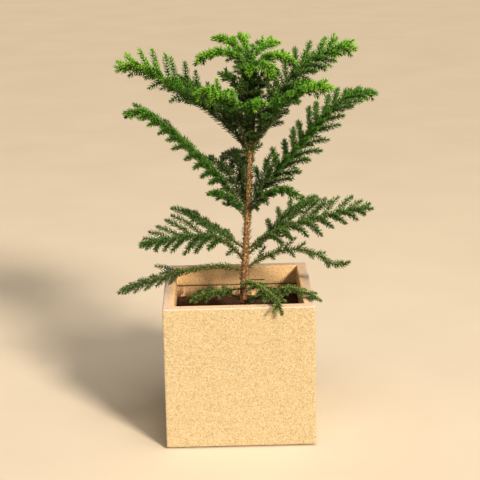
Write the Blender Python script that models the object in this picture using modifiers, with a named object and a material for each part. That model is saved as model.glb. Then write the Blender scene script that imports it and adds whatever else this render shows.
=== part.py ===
"""A young Norfolk island pine in a square granite planter.

Metres, +Z up. The origin is on the floor under the middle of the planter, +X is to the right of the
photo's view and +Y is away from its camera.
"""

import math
import random
from dataclasses import dataclass

import bmesh
import bpy
import numpy as np

# Planter: a granite cube on a recessed foot, open at the top
POT_WIDTH = 0.300
POT_TOP = 0.294
POT_WALL = 0.0225
POT_FLOOR = 0.034
POT_EDGE_ROUNDING = 0.0012
FOOT_HEIGHT = 0.004
FOOT_INSET = 0.013
KERF_DEPTH = 0.002
KERF_WIDTH = 0.002
KERF_BELOW_RIM = 0.040

# Soil: long waves and small lumps, level round the trunk
SOIL_TOP = 0.229
SOIL_LUMP = 0.003
SOIL_WAVE_SHARE = 0.7
SOIL_WAVES = (46, 58)
SOIL_CELLS = 12
SOIL_LEVEL_RADIUS = 0.042
SOIL_FADE = 0.020

# Trunk: rises from the soil near the middle of the planter, leans a little and straightens again
TRUNK_FOOT_X = 0.0075
TRUNK_TOP = 0.772
TRUNK_LEAN = 0.085
TRUNK_STRAIGHTENING = 0.066
TRUNK_FOOT_RADIUS = 0.0077
TRUNK_TIP_RADIUS = 0.0015
TRUNK_TAPER_POWER = 0.7
TRUNK_SIDES = 12
TRUNK_SECTIONS = 26
ROOT_FLARE = 0.0035
ROOT_FLARE_HEIGHT = 0.012
FLARE_SECTIONS = (0.0, 0.003, 0.008, 0.015)
ABOVE_FLARE = 0.028

# Space that neighbouring solids keep between them
GAP = 0.0003
SAFETY = 0.0004

# Boughs are bare near the trunk and end where their foliage starts
LIMB_ROOT_RADIUS = 0.0026
LIMB_TIP_RADIUS = 0.0017
LIMB_SIDES = 6

# Foliage: slim three-cornered sprays with teeth that lean forward, as the needles do
STEP = 0.004
PROFILE_CORNERS = 3
CORE_RADIUS = 0.0018
NEEDLE_REACH = 0.0085
SHOOT_REACH = 0.0078
LEAST_REACH = 0.0032
SHORTEST_SHOOT = 0.014
STEM_TOOTH = 0.026
SHOOT_TOOTH = 0.030
TOOTH_CREST = 0.72
TOOTH_VALLEY = 0.55
TIP_RADIUS = 0.0009
ROOTED_POINTS = 2

# Side shoots lean forward and droop, are longest a third of the way out, and vary by seeded chance
SHOOT_FORWARD = 58
SHOOT_FORWARD_AT_TIP = 44
SHOOT_DROOP = 22
SWELL_PLACES = (0.0, 0.27, 1.0)
SWELL = (0.85, 1.015, 0.65)
LENGTH_CHANCE = (0.88, 1.08)
FORWARD_CHANCE = 4
LIFT_CHANCE = 5
CONE_SLOPE = 0.6
CONE_TIP = 0.009

# The leader's own needles clothe the trunk between the fifth whorl and the rosette
LEADER_FROM = 0.606
LEADER_TO = 0.728
LEADER_TOOTH = 0.014
LEADER_REACH = 0.0075
LEADER_SKIN = 0.0016

# The bud closes over the trunk's tip: heights above its foot, and radii there
BUD_FROM = 0.756
BUD_HEIGHTS = (0.0, 0.010, 0.013, 0.026, 0.029, 0.038)
BUD_RADII = (0.0036, 0.0085, 0.0042, 0.0072, 0.0034, 0.0010)

# Colours as the photo's light shows them
GRANITE_COLOUR = (0.78, 0.58, 0.35)
SOIL_COLOUR = (0.050, 0.028, 0.018)
BARK_COLOUR = (0.30, 0.19, 0.10)
NEEDLE_COLOURS = {
    "old": (0.055, 0.130, 0.030),
    "green": (0.060, 0.165, 0.025),
    "fresh": (0.090, 0.235, 0.020),
    "tip": (0.150, 0.340, 0.020),
}


@dataclass
class Bough:
    """One bough of a whorl, with its sizes in metres and its angles in degrees.

    It leaves the trunk at a height and an azimuth, and rises by the angles of rises from its root
    to its tip. Its side shoots are about shoot long and spacing apart on each side, from first on.
    They lie lift above the bough's own plane, which is rolled about the bough. Up to bare it
    carries no needles.
    """

    name: str
    height: float
    azimuth: float
    length: float
    rises: tuple
    shoot: float
    spacing: float
    first: float = 0.030
    lift: float = 10.0
    roll: float = 0.0
    bare: float = 0.024
    tone: str = "green"


BOUGHS = [
    # lowest whorl, inside the planter and over its rim
    Bough("pot_left", 0.286, 200, 0.118, (4, -2, -6, -22), shoot=0.045, spacing=0.026, tone="old"),
    Bough("pot_left_low", 0.258, 172, 0.120, (40, 12, -14, -26),
          shoot=0.045, spacing=0.026, tone="old"),
    Bough("pot_front", 0.299, 292, 0.190, (20, 6, 0, -2, -6, -50),
          shoot=0.034, spacing=0.034, tone="old"),
    Bough("pot_right", 0.256, 322, 0.205, (22, 30, 18, -2, -20),
          shoot=0.034, spacing=0.030, tone="old"),
    # second whorl
    Bough("second_left", 0.325, 186, 0.264, (22, -2, -14, -13, -22),
          shoot=0.044, spacing=0.024, first=0.125, tone="old"),
    Bough("second_right", 0.326, 352, 0.230, (42, 28, 12, -12, -40, 30),
          shoot=0.024, spacing=0.040, first=0.060, lift=18, roll=28, tone="old"),
    # third whorl
    Bough("third_left", 0.370, 166, 0.172, (34, 30, 30, 30, 8),
          shoot=0.060, spacing=0.026, lift=0, tone="old"),
    Bough("third_left_low", 0.343, 194, 0.240, (58, 44, 10, 0, -4, -16),
          shoot=0.090, spacing=0.024, first=0.060, lift=18, roll=-18, tone="old"),
    Bough("third_right", 0.366, 350, 0.276, (42, 26, 18, 16, 2),
          shoot=0.072, spacing=0.026, first=0.060, lift=16, roll=22, tone="old"),
    Bough("third_right_back", 0.354, 30, 0.205, (30, 40, 38, 24, 8),
          shoot=0.050, spacing=0.030, first=0.060, tone="old"),
    # fourth whorl
    Bough("fourth_left", 0.445, 190, 0.338, (54, 57, 50, 46, 47, 45, 42, 34, -36),
          shoot=0.052, spacing=0.024, lift=2, roll=-18, bare=0.020),
    Bough("fourth_front_left", 0.436, 216, 0.118, (50, 50, 42, 26, 0),
          shoot=0.040, spacing=0.024, lift=0, bare=0.020),
    Bough("fourth_back_left", 0.456, 148, 0.150, (54, 62, 50, 28, -14),
          shoot=0.060, spacing=0.024, bare=0.020),
    Bough("fourth_back", 0.446, 96, 0.240, (46, 34, 22, 8, -8),
          shoot=0.050, spacing=0.026, bare=0.020),
    Bough("fourth_right", 0.455, 22, 0.374, (50, 44, 42, 48, 48, 36, 16, -20),
          shoot=0.098, spacing=0.026, bare=0.020),
    Bough("fourth_front_right", 0.447, 330, 0.138, (44, 42, 34, 8, -54),
          shoot=0.028, spacing=0.026, bare=0.0),
    # fifth whorl
    Bough("fifth_left", 0.576, 186, 0.322, (50, 48, 46, 38, 34, 32, 36, 22, -32),
          shoot=0.066, spacing=0.023, first=0.094, lift=46, roll=-20, bare=0.020, tone="fresh"),
    Bough("fifth_front_left", 0.564, 232, 0.236, (66, 68, 50, 24, 2),
          shoot=0.070, spacing=0.021, first=0.075, lift=-6, bare=0.020, tone="fresh"),
    Bough("fifth_front", 0.584, 277, 0.165, (56, 64, 50, 28, 0),
          shoot=0.040, spacing=0.024, first=0.060, bare=0.0, tone="fresh"),
    Bough("fifth_front_right", 0.566, 322, 0.262, (60, 54, 46, 24, -12),
          shoot=0.058, spacing=0.024, first=0.050, lift=8, bare=0.020, tone="fresh"),
    Bough("fifth_right", 0.580, 6, 0.308, (56, 60, 60, 58, 46, 28, 22, -20),
          shoot=0.080, spacing=0.026, first=0.084, lift=15, roll=20, bare=0.020, tone="fresh"),
    Bough("fifth_back_right", 0.566, 46, 0.235, (54, 48, 36, 20, -4),
          shoot=0.056, spacing=0.026, first=0.060, bare=0.020, tone="fresh"),
    Bough("fifth_back", 0.580, 91, 0.265, (56, 48, 34, 20, -4),
          shoot=0.038, spacing=0.026, first=0.050, bare=0.020, tone="fresh"),
    Bough("fifth_back_left", 0.566, 152, 0.240, (58, 56, 42, 24, -4),
          shoot=0.056, spacing=0.026, first=0.060, bare=0.020, tone="fresh"),
    # rosette at the top
    Bough("top_left", 0.736, 188, 0.130, (56, 37, 10, -15, -50),
          shoot=0.036, spacing=0.020, first=0.020, bare=0.0, tone="tip"),
    Bough("top_back_left", 0.744, 144, 0.106, (58, 46, 20, -8),
          shoot=0.034, spacing=0.020, first=0.020, bare=0.0, tone="tip"),
    Bough("top_back", 0.736, 104, 0.103, (60, 52, 28, -8),
          shoot=0.034, spacing=0.020, first=0.020, bare=0.0, tone="tip"),
    Bough("top_back_right", 0.744, 46, 0.092, (56, 42, 14, -12),
          shoot=0.034, spacing=0.020, first=0.020, bare=0.0, tone="tip"),
    Bough("top_right", 0.736, 352, 0.104, (54, 34, 6, -16, -46),
          shoot=0.032, spacing=0.020, first=0.020, bare=0.0, tone="tip"),
    Bough("top_front_right", 0.742, 308, 0.080, (40, 2, -26, -50),
          shoot=0.032, spacing=0.020, first=0.020, bare=0.0, tone="tip"),
    Bough("top_front", 0.734, 264, 0.054, (44, 18, -20, -46),
          shoot=0.024, spacing=0.020, first=0.020, bare=0.0, tone="tip"),
]

# Short shoots that the leader carries half-way up, fused with its needles
LEADER_SHOOTS = [
    Bough("leader_left", 0.668, 174, 0.088, (60, 56, 46, 14), shoot=0.030, spacing=0.026),
    Bough("leader_right", 0.676, 6, 0.076, (56, 50, 42, 14), shoot=0.028, spacing=0.026),
    Bough("leader_back", 0.670, 92, 0.070, (56, 50, 42, 14), shoot=0.028, spacing=0.026),
    Bough("leader_front_right", 0.668, 304, 0.052, (58, 48, 34, 0), shoot=0.020, spacing=0.026),
    Bough("leader_front_left", 0.674, 236, 0.054, (58, 48, 34, 0), shoot=0.020, spacing=0.026),
]


@dataclass
class Spray:
    """A stem or side shoot: its middle line, and how far its needles reach at each point of it."""

    line: np.ndarray
    reach: np.ndarray


# The rule by which the plant grows


def unit(vector):
    return vector / np.linalg.norm(vector)


def trunk_centre(height):
    """The middle of the trunk at a height."""
    up = height - SOIL_TOP
    return np.array([TRUNK_FOOT_X + TRUNK_LEAN * up - TRUNK_STRAIGHTENING * up * up, 0.0, height])


def trunk_radius(height):
    """Taper from foot to tip, with the flare where the roots begin."""
    up = height - SOIL_TOP
    share = max(0.0, 1.0 - up / (TRUNK_TOP - SOIL_TOP))
    taper = TRUNK_TIP_RADIUS + (TRUNK_FOOT_RADIUS - TRUNK_TIP_RADIUS) * share**TRUNK_TAPER_POWER
    return taper + ROOT_FLARE * math.exp(-up / ROOT_FLARE_HEIGHT)


def heading(azimuth, rise):
    """The direction of an azimuth, counted from +X towards +Y, and a rise above level."""
    a, e = math.radians(azimuth), math.radians(rise)
    return np.array([math.cos(a) * math.cos(e), math.sin(a) * math.cos(e), math.sin(e)])


def bough_line(bough):
    """Points a STEP apart along a bough, from the middle of the trunk to the tip."""
    steps = round(bough.length / STEP)
    rises = np.interp(np.linspace(0, 1, steps), np.linspace(0, 1, len(bough.rises)), bough.rises)
    points = [trunk_centre(bough.height)]
    for rise in rises:
        points.append(points[-1] + heading(bough.azimuth, rise) * STEP)
    return np.array(points)


def points_at(places, line):
    """Points of a line at distances along it."""
    steps = np.linalg.norm(np.diff(line, axis=0), axis=1)
    reached = np.concatenate([[0.0], np.cumsum(steps)])
    return np.column_stack([np.interp(places, reached, line[:, axis]) for axis in range(3)])


def length_of(line):
    return np.linalg.norm(np.diff(line, axis=0), axis=1).sum()


def shoot_line(line, at, side, length, forward, lift):
    """A side shoot: it leaves a line at an index, to one side and forward, and droops at its tip."""
    along = unit(line[at + 1] - line[at - 1])
    across = unit(np.cross(along, (0.0, 0.0, 1.0))) * side
    above = np.cross(across, along) * side
    turn, raised = math.radians(forward), math.radians(lift)
    sideways = across * math.cos(raised) + above * math.sin(raised)
    way = along * math.cos(turn) + sideways * math.sin(turn)
    points = [line[at]]
    steps = max(2, round(length / STEP))
    for i in range(steps):
        fall = math.radians(SHOOT_DROOP) * (i + 0.5) / steps
        points.append(points[-1] + unit(way - np.array([0.0, 0.0, math.tan(fall)])) * (length / steps))
    return np.array(points)


def side_shoots(bough, line):
    """A bough's side shoots, by turns to its right and left: how far out each is, and its line."""
    rng = random.Random(bough.name)
    shoots = []
    place, side = bough.first, 1
    while place < bough.length - SHORTEST_SHOOT:
        share = (place - bough.first) / (bough.length - bough.first)
        swell = np.interp(share, SWELL_PLACES, SWELL) * rng.uniform(*LENGTH_CHANCE)
        length = min(bough.shoot * swell, CONE_SLOPE * (bough.length - place) + CONE_TIP)
        forward = SHOOT_FORWARD + (SHOOT_FORWARD_AT_TIP - SHOOT_FORWARD) * share
        forward += rng.uniform(-FORWARD_CHANCE, FORWARD_CHANCE)
        lift = bough.lift - side * bough.roll + rng.uniform(-LIFT_CHANCE, LIFT_CHANCE)
        shoots.append((share, shoot_line(line, round(place / STEP), side, length, forward, lift)))
        place += bough.spacing / 2
        side = -side
    return shoots


# Room between the sprays


def trunk_room(points):
    """How far points are from the bark, or from the leader's needles where it has them."""
    heights = np.clip(points[:, 2], SOIL_TOP, TRUNK_TOP)
    room = []
    for point, height in zip(points, heights):
        clothed = LEADER_FROM <= point[2] <= LEADER_TO or point[2] >= BUD_FROM
        thickness = trunk_radius(height) + (LEADER_REACH if clothed else 0.0)
        room.append(np.linalg.norm(point - trunk_centre(height)) - thickness)
    return np.array(room)


def box_room(points, centre, half):
    """How far points are from a box."""
    beyond = np.abs(points - np.array(centre)) - np.array(half)
    return np.linalg.norm(np.maximum(beyond, 0.0), axis=1) + np.minimum(beyond.max(axis=1), 0.0)


def planter_room(points):
    """How far points are from the planter's four walls and from the soil."""
    middle = (POT_WIDTH - POT_WALL) / 2
    long_half = (POT_WIDTH / 2, POT_WALL / 2, POT_TOP / 2)
    short_half = (POT_WALL / 2, POT_WIDTH / 2, POT_TOP / 2)
    walls = [box_room(points, (0, side * middle, POT_TOP / 2), long_half) for side in (-1, 1)]
    walls += [box_room(points, (side * middle, 0, POT_TOP / 2), short_half) for side in (-1, 1)]
    soil_top = SOIL_TOP + SOIL_LUMP
    inside = (POT_WIDTH / 2, POT_WIDTH / 2, soil_top / 2)
    walls.append(box_room(points, (0, 0, soil_top / 2), inside))
    return np.min(walls, axis=0)


def fixed_room(points):
    """Room for needles beside the trunk and the planter."""
    return np.minimum(trunk_room(points), planter_room(points)) - GAP


def crowd_room(points, owner, crowd):
    """Room for needles beside everything in the crowd that another bough owns."""
    room = np.full(len(points), np.inf)
    for other, line, reach in crowd:
        if other == owner:
            continue
        apart = np.linalg.norm(points[:, None] - line[None], axis=2) - reach[None]
        room = np.minimum(room, apart.min(axis=1))
    return room - GAP - SAFETY


def main_stems(boughs):
    """Each bough's leafy part, with needles that reach at most half-way to the next bough's stem."""
    bare = {bough.name: round(bough.bare / STEP) for bough in boughs}
    lines = {bough.name: bough_line(bough) for bough in boughs}
    axes = [(name, line, np.zeros(len(line))) for name, line in lines.items()]
    stems = {}
    for name, line in lines.items():
        leafy = line[bare[name]:]
        room = np.minimum(fixed_room(leafy), crowd_room(leafy, name, axes) / 2)
        stems[name] = Spray(leafy, np.clip(room, CORE_RADIUS, NEEDLE_REACH))
    return lines, bare, stems


def cut_to_room(line, room, full_reach):
    """A spray that ends where the room gets too small, or None where too little of it is left."""
    tight = np.nonzero(room < LEAST_REACH)[0]
    count = tight[0] if len(tight) else len(line)
    if length_of(line[:count]) < SHORTEST_SHOOT:
        return None
    return Spray(line[:count], np.minimum(room[:count], full_reach))


def grow(boughs):
    """All the sprays of all the boughs, each mass in its own space. The first spray is the stem."""
    lines, bare, stems = main_stems(boughs)
    masses = {name: [stem] for name, stem in stems.items()}
    crowd = [(name, stem.line, stem.reach) for name, stem in stems.items()]
    for name, line in lines.items():
        limb = line[: bare[name] + 1]
        crowd.append((name + " limb", limb, np.full(len(limb), LIMB_ROOT_RADIUS)))
    waiting = []
    for bough in boughs:
        waiting += [(share, bough.name, line) for share, line in side_shoots(bough, lines[bough.name])]
    for _, name, line in sorted(waiting, key=lambda item: (item[0], item[1])):
        room = np.minimum(fixed_room(line), crowd_room(line, name, crowd))
        room[:ROOTED_POINTS] = np.maximum(room[:ROOTED_POINTS], LEAST_REACH)
        spray = cut_to_room(line, room, SHOOT_REACH)
        if spray:
            masses[name].append(spray)
            crowd.append((name, spray.line, spray.reach))
    return lines, bare, masses


# Materials


def material(name, colour, roughness):
    made = bpy.data.materials.new(name)
    made.use_nodes = True
    shader = made.node_tree.nodes["Principled BSDF"]
    shader.inputs["Base Color"].default_value = (*colour, 1.0)
    shader.inputs["Roughness"].default_value = roughness
    return made


# Meshes from curves and boxes


def set_up_scene():
    """Clear the scene and make collections for the parts, the cutters and the twigs of one mass."""
    for obj in list(bpy.data.objects):
        bpy.data.objects.remove(obj, do_unlink=True)
    collections = []
    for name in ("norfolk_pine", "cutters", "twigs"):
        collection = bpy.data.collections.new(name)
        bpy.context.scene.collection.children.link(collection)
        collections.append(collection)
    return collections


def add_object(name, data, collection, location=(0, 0, 0)):
    obj = bpy.data.objects.new(name, data)
    obj.location = location
    collection.objects.link(obj)
    return obj


def box(name, size, centre, collection):
    """A box from Blender's cube, with its size applied."""
    mesh = bpy.data.meshes.new(name)
    shape = bmesh.new()
    bmesh.ops.create_cube(shape, size=1.0)
    bmesh.ops.scale(shape, vec=size, verts=shape.verts)
    shape.to_mesh(mesh)
    shape.free()
    return add_object(name, mesh, collection, centre)


def as_cutter(obj):
    obj.hide_render = True
    obj.display_type = "WIRE"
    return obj


def boolean(obj, operation, other, solver="EXACT"):
    """A Boolean with an object, or with every object of a collection."""
    modifier = obj.modifiers.new(operation.lower(), "BOOLEAN")
    modifier.operation = operation
    modifier.solver = solver
    if isinstance(other, bpy.types.Collection):
        modifier.operand_type = "COLLECTION"
        modifier.collection = other
    else:
        modifier.object = other


def apply_modifiers(obj):
    """Replace an object's mesh by what its modifiers make of it."""
    graph = bpy.context.evaluated_depsgraph_get()
    mesh = bpy.data.meshes.new_from_object(obj.evaluated_get(graph))
    obj.modifiers.clear()
    obj.data = mesh
    return obj


def three_cornered_profile(collection):
    """The cross-section of a spray: its corners are 1 m from its middle, so radii scale it."""
    curve = bpy.data.curves.new("three_cornered", "CURVE")
    spline = curve.splines.new("POLY")
    spline.points.add(PROFILE_CORNERS - 1)
    spline.use_cyclic_u = True
    for corner, point in enumerate(spline.points):
        angle = math.tau * corner / PROFILE_CORNERS
        point.co = (math.cos(angle), math.sin(angle), 0.0, 1.0)
    return as_cutter(add_object("three_cornered", curve, collection))


def swept(name, points, radii, collection, finish=None, sides=None, profile=None, turns=None):
    """A closed mesh along points: round with a number of sides, or with a profile that may turn."""
    origin = points[0]
    curve = bpy.data.curves.new(name, "CURVE")
    curve.dimensions = "3D"
    curve.use_fill_caps = True
    if profile:
        curve.bevel_mode = "OBJECT"
        curve.bevel_object = profile
    else:
        curve.bevel_depth = 1.0
        curve.bevel_resolution = sides // 2 - 2
    spline = curve.splines.new("POLY")
    spline.points.add(len(points) - 1)
    for i, (point, radius) in enumerate(zip(points, radii)):
        spline.points[i].co = (*(point - origin), 1.0)
        spline.points[i].radius = radius
        spline.points[i].tilt = turns[i] if turns else 0.0
    guide = add_object(name, curve, collection, origin)
    graph = bpy.context.evaluated_depsgraph_get()
    mesh = bpy.data.meshes.new_from_object(guide.evaluated_get(graph))
    matrix = guide.matrix_world.copy()
    bpy.data.objects.remove(guide)
    bpy.data.curves.remove(curve)
    weld(mesh)
    mesh.materials.clear()
    if finish:
        mesh.materials.append(finish)
    obj = add_object(name, mesh, collection)
    obj.matrix_world = matrix
    return obj


def weld(mesh):
    """Join a swept mesh to its caps."""
    shape = bmesh.new()
    shape.from_mesh(mesh)
    bmesh.ops.remove_doubles(shape, verts=shape.verts, dist=0.00001)
    bmesh.ops.recalc_face_normals(shape, faces=shape.faces)
    shape.to_mesh(mesh)
    shape.free()


def tidy(mesh):
    """Drop loose scraps and the shells of hollows that fusing sealed, and leave only triangles."""
    shape = bmesh.new()
    shape.from_mesh(mesh)
    unseen = set(shape.verts)
    shells = []
    while unseen:
        shell, edge = set(), [unseen.pop()]
        while edge:
            vert = edge.pop()
            shell.add(vert)
            near = {link.other_vert(vert) for link in vert.link_edges} & unseen
            unseen -= near
            edge += near
        shells.append(shell)
    shells.sort(key=len)
    for shell in shells[:-1]:
        bmesh.ops.delete(shape, geom=list(shell), context="VERTS")
    bmesh.ops.triangulate(shape, faces=shape.faces)
    shape.to_mesh(mesh)
    shape.free()


def cut_clear(obj, clear_of_trunk):
    """Cut a solid where it would touch the trunk, so that it ends in a saddle 0.3 mm off the bark."""
    boolean(obj, "DIFFERENCE", clear_of_trunk)
    apply_modifiers(obj)
    tidy(obj.data)


# The planter and what stands in it


def make_planter(parts, cutters, stone):
    """The cube on its foot, hollowed, with a saw kerf round the inside of its rim."""
    body_size = (POT_WIDTH, POT_WIDTH, POT_TOP - FOOT_HEIGHT)
    body = box("planter", body_size, (0, 0, (POT_TOP + FOOT_HEIGHT) / 2), parts)
    rounding = body.modifiers.new("rounding", "BEVEL")
    rounding.width = POT_EDGE_ROUNDING
    rounding.segments = 2
    foot_width = POT_WIDTH - 2 * FOOT_INSET
    foot_size = (foot_width, foot_width, FOOT_HEIGHT * 2)
    foot = box("planter_foot", foot_size, (0, 0, FOOT_HEIGHT), cutters)
    boolean(body, "UNION", as_cutter(foot))
    inside = POT_WIDTH - 2 * POT_WALL
    depth = POT_TOP - POT_FLOOR
    cavity = box("planter_cavity", (inside, inside, depth * 2), (0, 0, POT_FLOOR + depth), cutters)
    boolean(body, "DIFFERENCE", as_cutter(cavity))
    kerf_width = inside + 2 * KERF_DEPTH
    kerf_size = (kerf_width, kerf_width, KERF_WIDTH)
    kerf = box("planter_kerf", kerf_size, (0, 0, POT_TOP - KERF_BELOW_RIM), cutters)
    boolean(body, "DIFFERENCE", as_cutter(kerf))
    body.data.materials.append(stone)


def soil_height(x, y, rng):
    """Lumps on the soil, none under the trunk."""
    away = math.hypot(x - TRUNK_FOOT_X, y)
    fade = min(1.0, max(0.0, (away - SOIL_LEVEL_RADIUS) / SOIL_FADE))
    wave = 0.5 + 0.25 * math.sin(SOIL_WAVES[0] * x + 1.0) + 0.25 * math.cos(SOIL_WAVES[1] * y - 0.6)
    return SOIL_LUMP * fade * (SOIL_WAVE_SHARE * wave + (1.0 - SOIL_WAVE_SHARE) * rng.random())


def make_soil(parts, earth):
    rng = random.Random("soil")
    half = POT_WIDTH / 2 - POT_WALL - GAP
    bottom = POT_FLOOR + GAP - SOIL_TOP
    shape = bmesh.new()
    bmesh.ops.create_grid(shape, x_segments=SOIL_CELLS, y_segments=SOIL_CELLS, size=half)
    below = bmesh.ops.extrude_face_region(shape, geom=shape.faces[:], use_keep_orig=True)["geom"]
    lower_verts = {item for item in below if isinstance(item, bmesh.types.BMVert)}
    lower_faces = [item for item in below if isinstance(item, bmesh.types.BMFace)]
    for vert in shape.verts:
        lumpy = soil_height(vert.co.x, vert.co.y, rng)
        vert.co.z = bottom if vert in lower_verts else lumpy
    bmesh.ops.dissolve_faces(shape, faces=lower_faces)
    bmesh.ops.recalc_face_normals(shape, faces=shape.faces)
    mesh = bpy.data.meshes.new("soil")
    shape.to_mesh(mesh)
    shape.free()
    mesh.materials.append(earth)
    add_object("soil", mesh, parts, (0, 0, SOIL_TOP))


def trunk_sections(foot):
    """Heights of the trunk's sections, close together in the flare and even above it."""
    flare = [foot + rise for rise in FLARE_SECTIONS]
    return flare + list(np.linspace(foot + ABOVE_FLARE, TRUNK_TOP, TRUNK_SECTIONS))


def make_trunk(name, collection, finish=None, thicker=0.0):
    """The trunk, or with something added to its radius, a cutter that keeps solids clear of it."""
    heights = trunk_sections(SOIL_TOP + GAP)
    points = [trunk_centre(height) for height in heights]
    # the first stretch stands upright, which makes the cut at soil level flat
    points[1][0] = points[0][0]
    radii = [trunk_radius(height) + thicker for height in heights]
    return swept(name, points, radii, collection, finish, sides=TRUNK_SIDES)


def make_bough(bough, line, bare, parts, clear_of_trunk, bark):
    """The bare foot of a bough, from a saddle on the bark to 0.3 mm before its foliage."""
    length = bare * STEP - GAP
    places = np.array([0.0, length / 2, length])
    radii = LIMB_ROOT_RADIUS + (LIMB_TIP_RADIUS - LIMB_ROOT_RADIUS) * places / length
    points = points_at(places, line)
    limb = swept("bough_" + bough.name, points, radii, parts, bark, sides=LIMB_SIDES)
    cut_clear(limb, clear_of_trunk)


def toothed(spray, tooth):
    """Points, radii and turns of a spray with teeth that lean forward, every second one turned."""
    length = length_of(spray.line)
    reached = np.linspace(0.0, length, len(spray.line))
    count = max(1, round(length / tooth))
    places, radii, turns = [], [], []
    for k in range(count):
        valley = length * k / count
        crest = length * (k + TOOTH_CREST) / count
        at_valley, at_crest = np.interp([valley, crest], reached, spray.reach)
        places += [valley, crest]
        radii += [max(CORE_RADIUS, at_valley * TOOTH_VALLEY) if k else CORE_RADIUS, at_crest]
        turns += [math.pi / PROFILE_CORNERS * (k % 2)] * 2
    places.append(length)
    radii.append(TIP_RADIUS)
    turns.append(turns[-1])
    return points_at(places, spray.line), radii, turns


def make_spray(name, spray, tooth, collection, profile, green):
    points, radii, turns = toothed(spray, tooth)
    return swept(name, points, radii, collection, green, profile=profile, turns=turns)


def make_foliage(name, sprays, parts, twigs, profile, green):
    """One mass: its stem and all its side shoots, fused."""
    mass = make_spray(name, sprays[0], STEM_TOOTH, parts, profile, green)
    for number, spray in enumerate(sprays[1:]):
        make_spray(f"{name}_twig_{number}", spray, SHOOT_TOOTH, twigs, profile, green)
    fuse(mass, twigs)
    return mass


def fuse(mass, twigs):
    """Join a mass with the twigs of its collection and empty the collection."""
    if not twigs.objects:
        return
    # EXACT is slow on so many shells in one operand
    boolean(mass, "UNION", twigs, solver="MANIFOLD")
    apply_modifiers(mass)
    tidy(mass.data)
    for twig in list(twigs.objects):
        mesh = twig.data
        bpy.data.objects.remove(twig)
        bpy.data.meshes.remove(mesh)


def make_leader(sprays_by_name, parts, twigs, profile, clear_of_trunk, green):
    """The needles round the leader, open along the trunk, with the leader's short shoots fused on."""
    count = round((LEADER_TO - LEADER_FROM) / LEADER_TOOTH)
    heights, radii = [], []
    for k in range(count):
        low = LEADER_FROM + (LEADER_TO - LEADER_FROM) * k / count
        crest = low + (LEADER_TO - LEADER_FROM) * TOOTH_CREST / count
        heights += [low, crest]
        radii += [trunk_radius(low) + LEADER_SKIN, trunk_radius(crest) + LEADER_REACH - GAP]
    heights.append(LEADER_TO)
    radii.append(trunk_radius(LEADER_TO) + LEADER_SKIN)
    points = [trunk_centre(height) for height in heights]
    sleeve = swept("foliage_leader", points, radii, parts, green, sides=LIMB_SIDES)
    for name, sprays in sprays_by_name.items():
        for number, spray in enumerate(sprays):
            make_spray(f"{name}_twig_{number}", spray, SHOOT_TOOTH, twigs, profile, green)
    fuse(sleeve, twigs)
    cut_clear(sleeve, clear_of_trunk)


def make_bud(parts, clear_of_trunk, green):
    """The tuft that closes over the trunk's tip."""
    points = [trunk_centre(BUD_FROM + height) for height in BUD_HEIGHTS]
    bud = swept("foliage_bud", points, BUD_RADII, parts, green, sides=LIMB_SIDES)
    cut_clear(bud, clear_of_trunk)


def build():
    parts, cutters, twigs = set_up_scene()
    make_planter(parts, cutters, material("granite", GRANITE_COLOUR, 0.85))
    make_soil(parts, material("potting_soil", SOIL_COLOUR, 0.95))
    bark = material("bark", BARK_COLOUR, 0.85)
    greens = {}
    for tone, colour in NEEDLE_COLOURS.items():
        greens[tone] = material("needles_" + tone, colour, 0.55)
    make_trunk("trunk", parts, bark)
    clear_of_trunk = as_cutter(make_trunk("clear_of_trunk", cutters, thicker=GAP))
    profile = three_cornered_profile(cutters)
    lines, bare, masses = grow(BOUGHS + LEADER_SHOOTS)
    for bough in BOUGHS:
        name = "foliage_" + bough.name
        mass = make_foliage(name, masses[bough.name], parts, twigs, profile, greens[bough.tone])
        if bough.bare:
            make_bough(bough, lines[bough.name], bare[bough.name], parts, clear_of_trunk, bark)
        else:
            cut_clear(mass, clear_of_trunk)
    leader_sprays = {bough.name: masses[bough.name] for bough in LEADER_SHOOTS}
    make_leader(leader_sprays, parts, twigs, profile, clear_of_trunk, greens["fresh"])
    make_bud(parts, clear_of_trunk, greens["tip"])
    bpy.data.collections.remove(twigs)


build()
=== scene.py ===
"""The looks of a young Norfolk island pine in a square granite planter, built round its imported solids.

Metres, +Z up. The plant grows here by the same rule as its solids, carried on to single needles.
"""

import math
import random
from dataclasses import dataclass

import bmesh
import bpy
import numpy as np
from mathutils import Matrix, Vector, noise

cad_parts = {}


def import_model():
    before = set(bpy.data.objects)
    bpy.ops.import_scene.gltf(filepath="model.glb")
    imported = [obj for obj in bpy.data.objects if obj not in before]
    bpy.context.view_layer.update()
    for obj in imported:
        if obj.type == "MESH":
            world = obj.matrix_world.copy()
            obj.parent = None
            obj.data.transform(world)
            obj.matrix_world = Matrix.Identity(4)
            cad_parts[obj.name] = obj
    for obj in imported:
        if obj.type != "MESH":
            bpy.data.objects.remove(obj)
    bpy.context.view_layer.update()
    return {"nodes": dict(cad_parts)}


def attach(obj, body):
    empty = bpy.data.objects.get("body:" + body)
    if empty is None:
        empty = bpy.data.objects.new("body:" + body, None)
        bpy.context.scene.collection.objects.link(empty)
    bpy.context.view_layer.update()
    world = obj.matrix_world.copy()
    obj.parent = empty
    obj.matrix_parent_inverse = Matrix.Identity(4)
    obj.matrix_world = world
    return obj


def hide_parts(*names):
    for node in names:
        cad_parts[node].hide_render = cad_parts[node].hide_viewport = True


# The photo's camera: its place, its angles in degrees, and its focal length
CAMERA_PLACE = (-0.0336, -2.8581, 1.2013)
CAMERA_YAW = 0.808
CAMERA_PITCH = 15.852
CAMERA_ROLL = -1.076
CAMERA_LENS = 109.85
SENSOR_WIDTH = 36.0

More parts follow.
